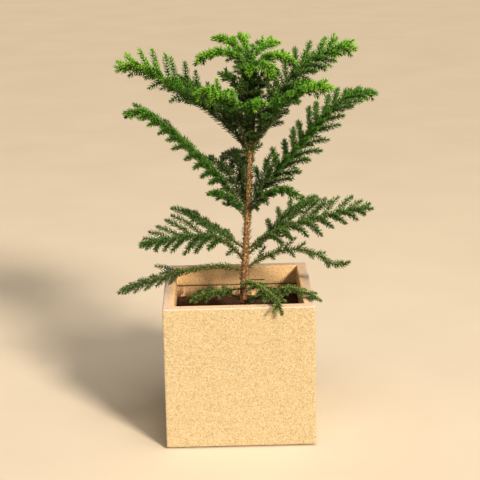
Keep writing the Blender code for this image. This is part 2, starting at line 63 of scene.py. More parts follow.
# Lights: kind, name, place, power, colour, and size in metres or, for a sun, in degrees
LIGHTS = (
    ("SUN", "key", (1.52, -2.32, 2.02), 4.5, (1.0, 0.84, 0.63), 11.0),
    ("AREA", "fill", (-2.6, -1.6, 1.8), 6.0, (1.0, 0.92, 0.82), 2.2),
    ("AREA", "top", (0.3, -0.5, 2.7), 24.0, (1.0, 0.90, 0.76), 1.0),
)
LIT_POINT = (0.0, 0.0, 0.45)
SURROUND_COLOUR = (1.0, 0.86, 0.66, 1.0)
SURROUND_STRENGTH = 0.26
FLOOR_HALF = 30.0

# Planter
POT_HALF = 0.150
POT_TOP = 0.294
POT_WALL = 0.0225
POT_INNER = POT_HALF - POT_WALL
POT_FLOOR = 0.034
FOOT_HEIGHT = 0.004
FOOT_INSET = 0.013
KERF_DEPTH = 0.002
KERF_WIDTH = 0.002
KERF_MIDDLE = POT_TOP - 0.040
ARRIS_ROUNDING = 0.0012
ARRIS_MIDDLE = 0.3
CORNER_ROUNDING = 0.0016
CORNER_CROWDING = 0.25
STONE_STEP = 0.0028
STONE_BELOW_SOIL = 0.012
MIDDLE_RING = 0.002
SMOOTH_BELOW_SOIL = 0.02
TOOLING_DEPTH = 0.0005
TOOLING_GRAINS = ((0.0034, 0.8), (0.022, 0.4))
SAWN_SHARE = 0.15
CHIP_DEPTH = 0.0011
CHIP_REACH = 0.0035
CHIP_SIZE, CHIP_WEIGHT = 0.006, 3.0
CHIP_SHIFT = (7, 3, 1)
SMALL_CHIP_SIZE, SMALL_CHIP_WEIGHT = 0.0025, 0.5

# A second short saw cut in the back wall, over the kerf and right of the trunk, which is only coloured: a
# line of painted shade with no groove
SHORT_CUT_MIDDLE = KERF_MIDDLE + 0.0105
SHORT_CUT_SPAN = (0.028, 0.060)
SHORT_CUT_HALVES = (0.0018, 0.0012)

# Soil
SOIL_TOP = 0.229
SOIL_LUMP = 0.003
SOIL_LUMP_SIZE = 0.03
SOIL_GRAINS = ((0.006, 0.0012), (0.0028, 0.0007))
SOIL_GRAIN_AT_TRUNK = 0.4
SOIL_NOISE_LEVEL = 0.3
SOIL_LEVEL_RADIUS = 0.042
SOIL_FADE = 0.020
SOIL_STEP = 0.0022
SOIL_BASE = POT_FLOOR + 0.001
CRUMB_COUNT = 900
CRUMB_SIZES = (0.0008, 0.0030)
CRUMB_SKEW = 2.5
CRUMB_STRETCH = (0.7, 1.2)
CRUMB_UNEVENNESS = (0.75, 1.15)
CRUMB_RISE = 0.3
CRUMBS_FROM_WALL = 0.004
CRUMBS_FROM_TRUNK = 0.014

# Trunk
TRUNK_FOOT_X = 0.0075
TRUNK_TOP = 0.772
TRUNK_LEAN = 0.085
TRUNK_STRAIGHTENING = 0.066
TRUNK_FOOT_RADIUS = 0.0077
TRUNK_TIP_RADIUS = 0.0015
TRUNK_TAPER_POWER = 0.7
ROOT_FLARE = 0.0035
ROOT_FLARE_HEIGHT = 0.012
TRUNK_SIDES = 60
TRUNK_STEP = 0.0010
BARK_PLATE = 0.0030
BARK_PLATE_STRETCH = 1.5
BARK_CRACK = 0.00055
BARK_CRACK_SHARPNESS = 2.2
BARK_GRAIN = 0.0003
BARK_GRAINS = ((0.0012, 0.6), (0.006, 0.8))
COLLAR = 0.0007
COLLAR_HEIGHT = 0.006

# Boughs
LIMB_ROOT_RADIUS = 0.0026
SHORT_LIMB_ROOT_RADIUS = LIMB_ROOT_RADIUS * 0.7
SHORT_LIMB = 0.12
LIMB_TIP_RADIUS = 0.0009
LIMB_TAPER_POWER = 1.3
LIMB_FLARE = 0.0009
LIMB_FLARE_LENGTH = 0.004
LIMB_IN_TRUNK = 0.6
LIMB_STEP = 0.0012
LIMB_SIDES = 9
LIMB_GRAIN = 0.00025
LIMB_GRAIN_SIZE = 0.0014
WOODY_SHARE = 0.4
WOODY_RINGS_AT_TOP = 2
GREEN_THICKNESS = 0.98
TWIG_RADII = (0.0009, 0.0005)
TWIG_SIDES = 5
TWIG_STEP = 0.003
FEWEST_TWIG_POINTS = 4

# The rule of growth, as in the solids
GAP = 0.0003
SAFETY = 0.0004
STEP = 0.004
CORE_RADIUS = 0.0018
NEEDLE_REACH = 0.0085
SHOOT_REACH = 0.0078
LEAST_REACH = 0.0032
SHORTEST_SHOOT = 0.014
ROOTED_POINTS = 2
SHOOT_FORWARD = 58
SHOOT_FORWARD_AT_TIP = 44
SHOOT_DROOP = 22
SWELL_PLACES = (0.0, 0.27, 1.0)
SWELL = (0.85, 1.015, 0.65)
LENGTH_CHANCE = (0.88, 1.08)
FORWARD_CHANCE = 4
LIFT_CHANCE = 5
CONE_SLOPE = 0.6
CONE_TIP = 0.009
LEADER_FROM = 0.606
LEADER_TO = 0.728
LEADER_REACH = 0.0075
BUD_FROM = 0.756

# Needles: one every so often along a stem, round it by the golden angle
GOLDEN_ANGLE = math.radians(137.508)
ANGLE_CHANCE = 0.25
STEM_NEEDLE_SPACING = 0.00036
SHOOT_NEEDLE_SPACING = 0.00074
# The short needles in each spray's core all take the deep tone, as painted shade
CORE_SPACING = 0.0016
CORE_LENGTH = 0.0075
NEEDLE_LENGTH = 0.0128
NEEDLE_LENGTH_CHANCE = (0.80, 1.12)
SHOOT_NEEDLE_SHARE = 0.94
SHORTER_AT_TIP = 0.30
CROWDED_LENGTH = 0.35
LEAST_FULLNESS = 0.5
NEEDLE_WIDTH = 0.0016
NEEDLE_WIDTH_CHANCE = (0.85, 1.1)
NEEDLE_THICKNESS = 0.0011
NEEDLE_KEEL = 0.65
NEEDLE_ROOT_WIDTH = 0.75
NEEDLE_ROOT = 0.00045
NEEDLE_MIDDLE = 0.52
NEEDLE_FORWARD = 62
NEEDLE_FORWARD_AT_TIP = 26
NEEDLE_FORWARD_CHANCE = 6.0
NEEDLE_TIP_STRETCH = 0.012
NEEDLE_CURL = 24
NEEDLE_RISE = 0.12
NEEDLE_ROWS_APART = 0.0054
NEEDLE_ROWS_PULL = 0.70
NEEDLE_FRAME_STEP = 0.002
FEWEST_FRAMES = 8
FOOT_NEEDLES_FROM = 0.009
FOOT_STEP = 0.003
FOOT_SPACING = 0.00055
FOOT_NEEDLE_LENGTH = 0.0125
FOOT_NEEDLE_ROOT = LIMB_ROOT_RADIUS * 0.8
FOOT_DULLER = 0.10
MOST_TRIANGLES = 190000

# The trunk's own needles: dense between the fifth whorl and the top, sparse and short below.
# From and to which height, spacing, length, freshness, and whether they are dry
TRUNK_NEEDLES = (
    (0.290, 0.400, 0.0022, 0.0060, 0.0, True),
    (0.300, 0.430, 0.0012, 0.0080, 0.22, False),
    (0.400, 0.600, 0.0014, 0.0075, 0.0, True),
    (0.430, 0.560, 0.00050, 0.0085, 0.22, False),
    (0.560, 0.580, 0.00045, 0.0110, 0.28, False),
    (0.560, 0.640, 0.00060, 0.0110, 0.0, True),
    (0.580, 0.610, 0.00014, 0.0128, 0.14, False),
    (0.606, 0.700, 0.00012, 0.0125, 0.26, False),
    (0.700, 0.772, 0.00014, 0.0120, 0.56, False),
)
TRUNK_NEEDLE_ROOT = 0.9
TRUNK_FRESHER_UP = 0.1


@dataclass
class Bough:
    """One bough of a whorl, with its sizes in metres and its angles in degrees.

    It leaves the trunk at a height and an azimuth, and rises by the angles of rises from its root
    to its tip. Its side shoots are about shoot long and spacing apart on each side, from first on.
    They lie lift above the bough's own plane, which is rolled about the bough. Up to bare it
    carries no side shoots and only sparse needles.
    """

    name: str
    height: float
    azimuth: float
    length: float
    rises: tuple
    shoot: float
    spacing: float
    first: float = 0.030
    lift: float = 10.0
    roll: float = 0.0
    bare: float = 0.024


def whorl(name, **shared):
    """A maker of boughs that fills in the whorl's name and what all its boughs share."""
    def bough(side, *sizes, **own):
        return Bough(f"{name}_{side}", *sizes, **{**shared, **own})
    return bough


pot, second, third = whorl("pot"), whorl("second"), whorl("third")
fourth, fifth = whorl("fourth", bare=0.020), whorl("fifth", bare=0.020)
top = whorl("top", spacing=0.020, first=0.020, bare=0.0)
leader = whorl("leader", spacing=0.026)

# Where each stands in its whorl, height, azimuth, length, rises, shoot and spacing, and the rest
BOUGHS = [
    # inside the planter and over its rim
    pot("left", 0.286, 200, 0.118, (4, -2, -6, -22), 0.045, 0.026),
    pot("left_low", 0.258, 172, 0.120, (40, 12, -14, -26), 0.045, 0.026),
    pot("front", 0.299, 292, 0.190, (20, 6, 0, -2, -6, -50), 0.034, 0.034),
    pot("right", 0.256, 322, 0.205, (22, 30, 18, -2, -20), 0.034, 0.030),

    second("left", 0.325, 186, 0.264, (22, -2, -14, -13, -22), 0.044, 0.024, first=0.125),
    second("right", 0.326, 352, 0.230, (42, 28, 12, -12, -40, 30),
           0.024, 0.040, first=0.060, lift=18, roll=28),

    third("left", 0.370, 166, 0.172, (34, 30, 30, 30, 8), 0.060, 0.026, lift=0),
    third("left_low", 0.343, 194, 0.240, (58, 44, 10, 0, -4, -16),
          0.090, 0.024, first=0.060, lift=18, roll=-18),
    third("right", 0.366, 350, 0.276, (42, 26, 18, 16, 2), 0.072, 0.026, first=0.060, lift=16, roll=22),
    third("right_back", 0.354, 30, 0.205, (30, 40, 38, 24, 8), 0.050, 0.030, first=0.060),

    fourth("left", 0.445, 190, 0.338, (54, 57, 50, 46, 47, 45, 42, 34, -36), 0.052, 0.024, lift=2, roll=-18),
    fourth("front_left", 0.436, 216, 0.118, (50, 50, 42, 26, 0), 0.040, 0.024, lift=0),
    fourth("back_left", 0.456, 148, 0.150, (54, 62, 50, 28, -14), 0.060, 0.024),
    fourth("back", 0.446, 96, 0.240, (46, 34, 22, 8, -8), 0.050, 0.026),
    fourth("right", 0.455, 22, 0.374, (50, 44, 42, 48, 48, 36, 16, -20), 0.098, 0.026),
    fourth("front_right", 0.447, 330, 0.138, (44, 42, 34, 8, -54), 0.028, 0.026, bare=0.0),

    fifth("left", 0.576, 186, 0.322, (50, 48, 46, 38, 34, 32, 36, 22, -32),
          0.066, 0.023, first=0.094, lift=46, roll=-20),
    fifth("front_left", 0.564, 232, 0.236, (66, 68, 50, 24, 2), 0.070, 0.021, first=0.075, lift=-6),
    fifth("front", 0.584, 277, 0.165, (56, 64, 50, 28, 0), 0.040, 0.024, first=0.060, bare=0.0),
    fifth("front_right", 0.566, 322, 0.262, (60, 54, 46, 24, -12), 0.058, 0.024, first=0.050, lift=8),
    fifth("right", 0.580, 6, 0.308, (56, 60, 60, 58, 46, 28, 22, -20),
          0.080, 0.026, first=0.084, lift=15, roll=20),
    fifth("back_right", 0.566, 46, 0.235, (54, 48, 36, 20, -4), 0.056, 0.026, first=0.060),
    fifth("back", 0.580, 91, 0.265, (56, 48, 34, 20, -4), 0.038, 0.026, first=0.050),
    fifth("back_left", 0.566, 152, 0.240, (58, 56, 42, 24, -4), 0.056, 0.026, first=0.060),

    # rosette at the top
    top("left", 0.736, 188, 0.130, (56, 37, 10, -15, -50), 0.036),
    top("back_left", 0.744, 144, 0.106, (58, 46, 20, -8), 0.034),
    top("back", 0.736, 104, 0.103, (60, 52, 28, -8), 0.034),
    top("back_right", 0.744, 46, 0.092, (56, 42, 14, -12), 0.034),
    top("right", 0.736, 352, 0.104, (54, 34, 6, -16, -46), 0.032),
    top("front_right", 0.742, 308, 0.080, (40, 2, -26, -50), 0.032),
    top("front", 0.734, 264, 0.054, (44, 18, -20, -46), 0.024),
]

# Short shoots that the leader carries half-way up
LEADER_SHOOTS = [
    leader("left", 0.668, 174, 0.088, (60, 56, 46, 14), 0.030),
    leader("right", 0.676, 6, 0.076, (56, 50, 42, 14), 0.028),
    leader("back", 0.670, 92, 0.070, (56, 50, 42, 14), 0.028),
    leader("front_right", 0.668, 304, 0.052, (58, 48, 34, 0), 0.020),
    leader("front_left", 0.674, 236, 0.054, (58, 48, 34, 0), 0.020),
]

# Short upright shoots round the leader, under the rosette, with no side shoots
COLLAR_SHOOTS = [
    leader(f"short_{number}", 0.634 + 0.0045 * number, 137.5 * number % 360,
           0.042 + 0.004 * (number % 4), (66, 62, 52, 34), 0.0)
    for number in range(18)
]

# Shoots that stand out on their own: how far along the bough, side, length, forward and lift
LONE_SHOOTS = {
    "second_left": ((0.138, 1, 0.050, 44, 80),),
    "second_right": ((0.036, -1, 0.030, 40, 76), (0.092, -1, 0.034, 44, 78)),
    "third_right": ((0.076, -1, 0.100, 26, 72), (0.134, -1, 0.070, 30, 72)),
    "fourth_back": (
        (0.092, 1, 0.066, 50, 66), (0.124, 1, 0.066, 50, 56),
        (0.140, 1, 0.066, 60, 40), (0.108, -1, 0.044, 50, 80),
    ),
    "fourth_right": (
        (0.032, 1, 0.090, 34, 72), (0.052, 1, 0.082, 38, 60), (0.088, 1, 0.060, 46, 44),
        (0.114, 1, 0.062, 46, 42), (0.140, 1, 0.064, 46, 34), (0.166, 1, 0.064, 46, 30),
        (0.192, 1, 0.060, 46, 28), (0.218, 1, 0.054, 46, 26),
    ),
}


@dataclass
class Fill:
    """Short shoots between the others: how far apart they are, and how long beside the others.

    They leave the bough's plane by the angles of lifts, taken in turn, and up to clean_below along
    the bough only upwards.
    """

    spacing: float
    shorter: float
    lifts: tuple
    clean_below: float = 0.0


FILL_SHORTEST = 0.016
FILL_START = 0.012
FILL_LENGTH_CHANCE = (0.75, 1.15)
FILL_SPACING_CHANCE = (0.85, 1.15)
FILL_FORWARD_CHANCE = 8
FILL_LIFT_CHANCE = 10
FILL_SPARSER = {"fourth_back": 2.2, "fourth_back_left": 2.0, "fourth_front_left": 1.4}
DENSE_LIFTS = (58, -42, 24, -68, 80, -20)


@dataclass
class Looks:
    """How a whorl is clothed.

    freshness is how fresh its needles are at FRESHNESS_PLACES along its boughs, and fresher_ends
    how much fresher they are at the end of a shoot. The others are shares of what most needles
    have: spacings, lengths, and how strongly the needles are drawn into rows.
    """

    freshness: tuple
    fresher_ends: float
    sparser: float = 1.0
    longer: float = 1.0
    stem_sparser: float = 1.0
    stem_longer: float = 1.0
    foot_sparser: float = 1.5
    rows: float = 1.0
    fill: Fill = None


LOOKS = {
    "pot": Looks((0.05, 0.08, 0.12, 0.14), 0.08, sparser=1.2, longer=0.80, rows=0.3),
    "second": Looks((0.10, 0.12, 0.15, 0.20), 0.10, sparser=1.2, longer=0.90, rows=0.6),
    "third": Looks((0.20, 0.26, 0.31, 0.38), 0.14, longer=0.95, fill=Fill(0.0200, 0.34, (-55, 12, -70, -30))),
    "fourth": Looks((0.38, 0.43, 0.48, 0.64), 0.18, foot_sparser=0.8,
                    fill=Fill(0.0120, 0.34, (20, -42, 6, -62, 34, -20))),
    "fifth": Looks((0.04, 0.28, 0.56, 0.90), 0.28, stem_sparser=1.25, stem_longer=1.14, foot_sparser=0.6,
                   fill=Fill(0.0090, 0.55, DENSE_LIFTS, clean_below=0.125)),
    "leader": Looks((0.25, 0.34, 0.44, 0.58), 0.16, fill=Fill(0.0090, 0.55, DENSE_LIFTS)),
    "top": Looks((0.52, 0.72, 0.90, 1.06), 0.32, fill=Fill(0.0105, 0.55, DENSE_LIFTS)),
}
FRESHNESS_PLACES = (0.0, 0.33, 0.66, 1.0)
FRESHNESS_CHANCE = 0.05

# Boughs with a freshness of their own, and boughs that are fresher or duller than their whorl
OWN_FRESHNESS = {"fifth_front_left": (0.04, 0.50, 0.80, 0.90)}
FRESHER = {
    "third_left_low": 0.03,
    "fourth_left": 0.05,
    "fourth_back": -0.26,
    "fourth_back_left": -0.26,
    "fifth_left": 0.10,
    "fifth_front": -0.06,
    "fifth_front_right": 0.12,
    "fifth_back": -0.20,
    "fifth_back_left": -0.10,
    "fifth_back_right": -0.10,
}

# How the names of boughs begin whose needles mostly have a tone of their own, and from how far
# along the bough. The fourth whorl's back boughs are deep, as painted shade; the lowest whorl is pale, its
# older needles' own tone made lighter as painted light
OWN_TONES = {"pot": ("pale", 0.0), "second_left": ("cool", 0.5), "fourth_back": ("deep", 0.0)}
OWN_TONE_SHARE = 0.72


@dataclass
class Tone:
    """A kind of needle: its slot, which is not used, its base colour, and whether it has a pale waxy bloom.
    """

    slot: str
    colour: tuple
    is_waxy: bool = False


# From the dullest to the freshest, and then those that aren't dealt out by freshness
TONES = {
    "dull": Tone("needles_old", (0.125, 0.205, 0.046), is_waxy=True),
    "old": Tone("needles_old", (0.076, 0.172, 0.026), is_waxy=True),
    "green": Tone("needles_green", (0.050, 0.158, 0.011)),
    "fresh": Tone("needles_fresh", (0.064, 0.215, 0.012)),
    "bright": Tone("needles_fresh", (0.116, 0.335, 0.016)),
    "tip": Tone("needles_tip", (0.200, 0.480, 0.026)),
    # deep is painted shade: it goes to needles near the trunk, to hanging ones, to the sprays' cores and to
    # the fourth whorl's back boughs
    "deep": Tone("needles_green", (0.027, 0.060, 0.009)),
    # pale: the lowest whorl's own paler tone, made lighter as painted light
    "pale": Tone("needles_old", (0.175, 0.270, 0.060), is_waxy=True),
    "cool": Tone("needles_old", (0.105, 0.200, 0.085), is_waxy=True),
}
TONE_LIMITS = (0.20, 0.40, 0.56, 0.72, 0.88)
BLOOM = (0.03, 0.04, 0.04)

# Most needles near the trunk, up to the rosette, are dealt the deep tone as painted shade. Below a height
# fewer of them are, and some are dealt the cool tone instead, a waxy grey-green that is partly painted
# highlight
SHADE_HEIGHTS = (0.440, 0.450, 0.500, 0.530, 0.555, 0.580, 0.640, 0.662, 0.728, 0.735)
SHADE_REACHES = (0.000, 0.028, 0.055, 0.060, 0.060, 0.040, 0.078, 0.044, 0.028, 0.000)
SHADE_REACH_CHANCE = 0.010
SHADE_SHARE = 0.85
COOL_SHADE_BELOW = 0.570
COOL_SHADE_SHARES = (0.50, 0.80)

# Many needles that hang down from their root by at least this much are deep too, as painted shade on the
# undersides
HANGING = 0.003
HANGING_SHARE = 0.55

# Barks: the colour of their plates and of their cracks, and how mossy they are
BARKS = {
    "trunk_bark": ((0.53, 0.270, 0.135), (0.035, 0.017, 0.010), 0.20),
    "bough_bark": ((0.20, 0.13, 0.055), (0.07, 0.042, 0.020), 0.5),
    "green_bark": ((0.12, 0.16, 0.040), (0.05, 0.075, 0.02), 0.5),
    "twig_bark": ((0.075, 0.085, 0.025), (0.03, 0.035, 0.012), 0.0),
    "dry_needle": ((0.34, 0.22, 0.08), (0.15, 0.11, 0.04), 0.0),
}
MOSS = (0.10, 0.12, 0.035)

# Granite: its grains from dark to light on the tooled faces and on the sawn rim, and what is on it: specks,
# ochre, rust and earth stains, a warm inside that is partly painted light, and painted shade in the saw cuts
# and under the foot
STONE_GRAINS = (
    (0.00, (0.37, 0.29, 0.165)),
    (0.14, (0.475, 0.375, 0.215)),
    (0.34, (0.54, 0.435, 0.265)),
    (0.70, (0.57, 0.465, 0.295)),
    (0.94, (0.64, 0.555, 0.385)),
)
RIM_GRAINS = ((0.0, (0.62, 0.47, 0.38)), (0.5, (0.73, 0.58, 0.48)), (1.0, (0.82, 0.68, 0.58)))
SPECKS = (0.23, 0.19, 0.095)
OCHRE = (0.66, 0.42, 0.19)
# The inner walls' own warmer tint, made lighter as painted light
WARM_AND_LIT_INSIDE = (1.0, 0.69, 0.37)
RUST = (0.40, 0.17, 0.065)
EARTH_STAIN = (0.13, 0.050, 0.028)
# Painted shade in the saw cuts
PAINTED_CUT_SHADE = (0.10, 0.050, 0.025)
# Painted shade in the recess under the foot
PAINTED_FOOT_SHADE = (0.08, 0.05, 0.03)

SOIL_COLOURS = ((0.30, (0.020, 0.010, 0.006)), (0.55, (0.070, 0.034, 0.020)), (0.75, (0.150, 0.080, 0.045)))
FLOOR_COLOURS = ((0.3, (0.74, 0.67, 0.58)), (0.7, (0.78, 0.71, 0.62)))


# The rule by which the plant grows


def whorl_of(bough):
    return bough.name.split("_")[0]


def unit(vector):
    return vector / np.linalg.norm(vector)


def trunk_x(height):
    """How far right the middle of the trunk is at a height."""
    up = height - SOIL_TOP
    return TRUNK_FOOT_X + TRUNK_LEAN * up - TRUNK_STRAIGHTENING * up * up


def trunk_centre(height):
    return np.array([trunk_x(height), 0.0, height])


def trunk_radius(height):
    """Taper from foot to tip, with the flare where the roots begin."""
    up = height - SOIL_TOP
    share = max(0.0, 1.0 - up / (TRUNK_TOP - SOIL_TOP))
    taper = TRUNK_TIP_RADIUS + (TRUNK_FOOT_RADIUS - TRUNK_TIP_RADIUS) * share**TRUNK_TAPER_POWER
    return taper + ROOT_FLARE * math.exp(-up / ROOT_FLARE_HEIGHT)


def heading(azimuth, rise):
    """The direction of an azimuth, counted from +X towards +Y, and a rise above level."""
    turn, raised = math.radians(azimuth), math.radians(rise)
    return np.array([math.cos(turn) * math.cos(raised), math.sin(turn) * math.cos(raised), math.sin(raised)])


def bough_line(bough):
    """Points a STEP apart along a bough, from the middle of the trunk to the tip."""
    steps = round(bough.length / STEP)
    rises = np.interp(np.linspace(0, 1, steps), np.linspace(0, 1, len(bough.rises)), bough.rises)
    points = [trunk_centre(bough.height)]
    for rise in rises:
        points.append(points[-1] + heading(bough.azimuth, rise) * STEP)
    return np.array(points)


def points_at(places, line):
    """Points of a line at distances along it."""
    steps = np.linalg.norm(np.diff(line, axis=0), axis=1)
    reached = np.concatenate([[0.0], np.cumsum(steps)])
    return np.column_stack([np.interp(places, reached, line[:, axis]) for axis in range(3)])


def length_of(line):
    return np.linalg.norm(np.diff(line, axis=0), axis=1).sum()


def evenly(line, step, fewest):
    """Points about a step apart along a line, from its start to its end."""
    total = length_of(line)
    return points_at(np.linspace(0.0, total, max(fewest, int(total / step))), line)


def shoot_line(line, at, side, length, forward, lift):
    """A side shoot: it leaves a line at an index, to one side and forward, and droops at its tip."""
    along = unit(line[at + 1] - line[at - 1])
    across = unit(np.cross(along, (0.0, 0.0, 1.0))) * side
    above = np.cross(across, along) * side
    turn, raised = math.radians(forward), math.radians(lift)
    sideways = across * math.cos(raised) + above * math.sin(raised)
    way = along * math.cos(turn) + sideways * math.sin(turn)
    points = [line[at]]
    steps = max(2, round(length / STEP))
    for i in range(steps):
        fall = math.radians(SHOOT_DROOP) * (i + 0.5) / steps
        points.append(points[-1] + unit(way - np.array([0.0, 0.0, math.tan(fall)])) * (length / steps))
    return np.array(points)


def shoot_sizes(bough, start, place, full_length, length_chance, forward_chance, rng):
    """How far out a shoot is between a start and the bough's tip, how long, and how far forward."""
    share = (place - start) / (bough.length - start)
    swell = np.interp(share, SWELL_PLACES, SWELL) * rng.uniform(*length_chance)
    length = min(full_length * swell, CONE_SLOPE * (bough.length - place) + CONE_TIP)
    forward = SHOOT_FORWARD + (SHOOT_FORWARD_AT_TIP - SHOOT_FORWARD) * share
    return share, length, forward + rng.uniform(-forward_chance, forward_chance)


def side_shoots(bough, line):
    """A bough's side shoots, by turns to its right and left: how far out, whose, and their lines."""
    rng = random.Random(bough.name)
    shoots = []
    place, side = bough.first, 1
    while place < bough.length - SHORTEST_SHOOT:
        share, length, forward = shoot_sizes(
            bough, bough.first, place, bough.shoot, LENGTH_CHANCE, FORWARD_CHANCE, rng)
        lift = bough.lift - side * bough.roll + rng.uniform(-LIFT_CHANCE, LIFT_CHANCE)
        shoot = shoot_line(line, round(place / STEP), side, length, forward, lift)
        shoots.append((share, bough.name, shoot))
        place += bough.spacing / 2
        side = -side
    return shoots


def fill_shoots(bough, line):
    """Short shoots that leave a bough above and below its plane, between its side shoots."""
    rng = random.Random(bough.name + " fill")
    shoots = []
    fill = LOOKS[whorl_of(bough)].fill
    if not fill:
        return shoots
    place, number = bough.bare + FILL_START, 0
    while place < bough.length - SHORTEST_SHOOT:
        share, length, forward = shoot_sizes(
            bough, bough.bare, place, bough.shoot * fill.shorter,
            FILL_LENGTH_CHANCE, FILL_FORWARD_CHANCE, rng)
        side = 1 if number % 2 else -1
        lift = fill.lifts[number % len(fill.lifts)] + rng.uniform(-FILL_LIFT_CHANCE, FILL_LIFT_CHANCE)
        if place < fill.clean_below:
            lift = abs(lift)
        at = min(max(round(place / STEP), 1), len(line) - 2)
        shoot = shoot_line(line, at, side, max(length, FILL_SHORTEST), forward, lift)
        shoots.append((share, bough.name, shoot))
        place += fill.spacing * FILL_SPARSER.get(bough.name, 1.0) * rng.uniform(*FILL_SPACING_CHANCE)
        number += 1
    return shoots


def lone_shoots(bough, line):
    shoots = []
    for place, side, length, forward, lift in LONE_SHOOTS.get(bough.name, ()):
        shoot = shoot_line(line, round(place / STEP), side, length, forward, lift)
        shoots.append((place / bough.length, bough.name, shoot))
    return shoots


def trunk_room(points):
    """How far points are from the bark, or from the leader's needles where it has them."""
    heights = np.clip(points[:, 2], SOIL_TOP, TRUNK_TOP)
    room = []
    for point, height in zip(points, heights):
        clothed = LEADER_FROM <= point[2] <= LEADER_TO or point[2] >= BUD_FROM
        thickness = trunk_radius(height) + (LEADER_REACH if clothed else 0.0)
        room.append(np.linalg.norm(point - trunk_centre(height)) - thickness)
    return np.array(room)


def box_room(points, centre, half):
    """How far points are from a box."""
    beyond = np.abs(points - np.array(centre)) - np.array(half)
    return np.linalg.norm(np.maximum(beyond, 0.0), axis=1) + np.minimum(beyond.max(axis=1), 0.0)


def planter_room(points):
    """How far points are from the planter's four walls and from the soil."""
    middle = POT_HALF - POT_WALL / 2
    soil_half = (SOIL_TOP + SOIL_LUMP) / 2
    boxes = [box_room(points, (0, 0, soil_half), (POT_HALF, POT_HALF, soil_half))]
    for side in (-middle, middle):
        boxes.append(box_room(points, (0, side, POT_TOP / 2), (POT_HALF, POT_WALL / 2, POT_TOP / 2)))
        boxes.append(box_room(points, (side, 0, POT_TOP / 2), (POT_WALL / 2, POT_HALF, POT_TOP / 2)))
    return np.min(boxes, axis=0)


def fixed_room(points):
    """Room for needles beside the trunk and the planter."""
    return np.minimum(trunk_room(points), planter_room(points)) - GAP


def crowd_room(points, owner, crowd):
    """Room for needles beside everything in the crowd that another bough owns."""
    room = np.full(len(points), np.inf)
    for other, line, reach in crowd:
        if other != owner:
            apart = np.linalg.norm(points[:, None] - line[None], axis=2) - reach[None]
            room = np.minimum(room, apart.min(axis=1))
    return room - GAP - SAFETY


def main_stems(boughs):
    """Each bough's leafy part, with needles that reach at most half-way to the next bough's stem."""
    bare = {bough.name: round(bough.bare / STEP) for bough in boughs}
    lines = {bough.name: bough_line(bough) for bough in boughs}
    axes = [(name, line, np.zeros(len(line))) for name, line in lines.items()]
    stems = {}
    for name, line in lines.items():
        leafy = line[bare[name]:]
        room = np.minimum(fixed_room(leafy), crowd_room(leafy, name, axes) / 2)
        stems[name] = (leafy, np.clip(room, CORE_RADIUS, NEEDLE_REACH))
    return lines, bare, stems


def add_shoot(share, name, line, room, masses, crowd):
    """Add a shoot to its bough's mass, up to where its room gets too small, if enough of it is left."""
    tight = np.nonzero(room < LEAST_REACH)[0]
    count = tight[0] if len(tight) else len(line)
    if length_of(line[:count]) >= SHORTEST_SHOOT:
        spray = (line[:count], np.minimum(room[:count], SHOOT_REACH))
        masses[name].append((share, *spray))
        crowd.append((name, *spray))


def add_shoots(shoots, masses, crowd):
    """Add shoots one by one, each in the room that the ones before have left."""
    for share, name, line in shoots:
        room = np.minimum(fixed_room(line), crowd_room(line, name, crowd))
        room[:ROOTED_POINTS] = np.maximum(room[:ROOTED_POINTS], LEAST_REACH)
        add_shoot(share, name, line, room, masses, crowd)


def grow(boughs):
    """The sprays of each bough, in the bough's own space: the stem, and then its shoots.

    A spray is how far out on the bough it stands, its middle line, and how far its needles reach
    at each point of it.
    """
    lines, bare, stems = main_stems(boughs)
    masses = {name: [(0.0, *stem)] for name, stem in stems.items()}
    crowd = [(name, *stem) for name, stem in stems.items()]
    for name, line in lines.items():
        limb = line[: bare[name] + 1]
        crowd.append((name + " limb", limb, np.full(len(limb), LIMB_ROOT_RADIUS)))
    sides = [shoot for bough in boughs for shoot in side_shoots(bough, lines[bough.name])]
    add_shoots(sorted(sides, key=lambda shoot: shoot[:2]), masses, crowd)
    for bough in boughs:
        line = lines[bough.name]
        add_shoots(fill_shoots(bough, line) + lone_shoots(bough, line), masses, crowd)
    for bough in COLLAR_SHOOTS:
        line = bough_line(bough)
        room = crowd_room(line, bough.name, crowd)
        room[:ROOTED_POINTS * 2] = LEAST_REACH
        masses[bough.name] = []
        add_shoot(0.0, bough.name, line, room, masses, crowd)
    return lines, bare, masses


# Joined meshes from arrays


class Pile:
    """Points and faces of many small shapes, joined into one mesh."""

    def __init__(self):
        self.points, self.quads, self.triangles = [], [np.zeros((0, 4), int)], []
        self.count = 0

    def add(self, points, triangles, quads=None):
        self.points.append(points)
        self.triangles.append(triangles + self.count)
        if quads is not None:
            self.quads.append(quads + self.count)
        self.count += len(points)

    def object(self, name, material):
        arrays = [np.concatenate(some) for some in (self.points, self.quads, self.triangles)]
        return joined(name, *arrays, material)


def joined(name, points, quads, triangles, material):
    """One smooth mesh object from arrays."""
    mesh = bpy.data.meshes.new(name)
    mesh.from_pydata(points.tolist(), [], quads.tolist() + triangles.tolist(), shade_flat=False)
    mesh.validate()
    mesh.materials.append(material)
    return linked(name, mesh)


def linked(name, data):
    """A new object of the scene with this data."""
    obj = bpy.data.objects.new(name, data)
    bpy.context.scene.collection.objects.link(obj)
    return obj


def fan(ring_start, sides, centre, outward):
    """Triangles from a ring of points to one point."""
    side = np.arange(sides)
    here, following = ring_start + side, ring_start + (side + 1) % sides
    middle = np.full(sides, centre)
    return np.column_stack([here, following, middle] if outward else [following, here, middle])


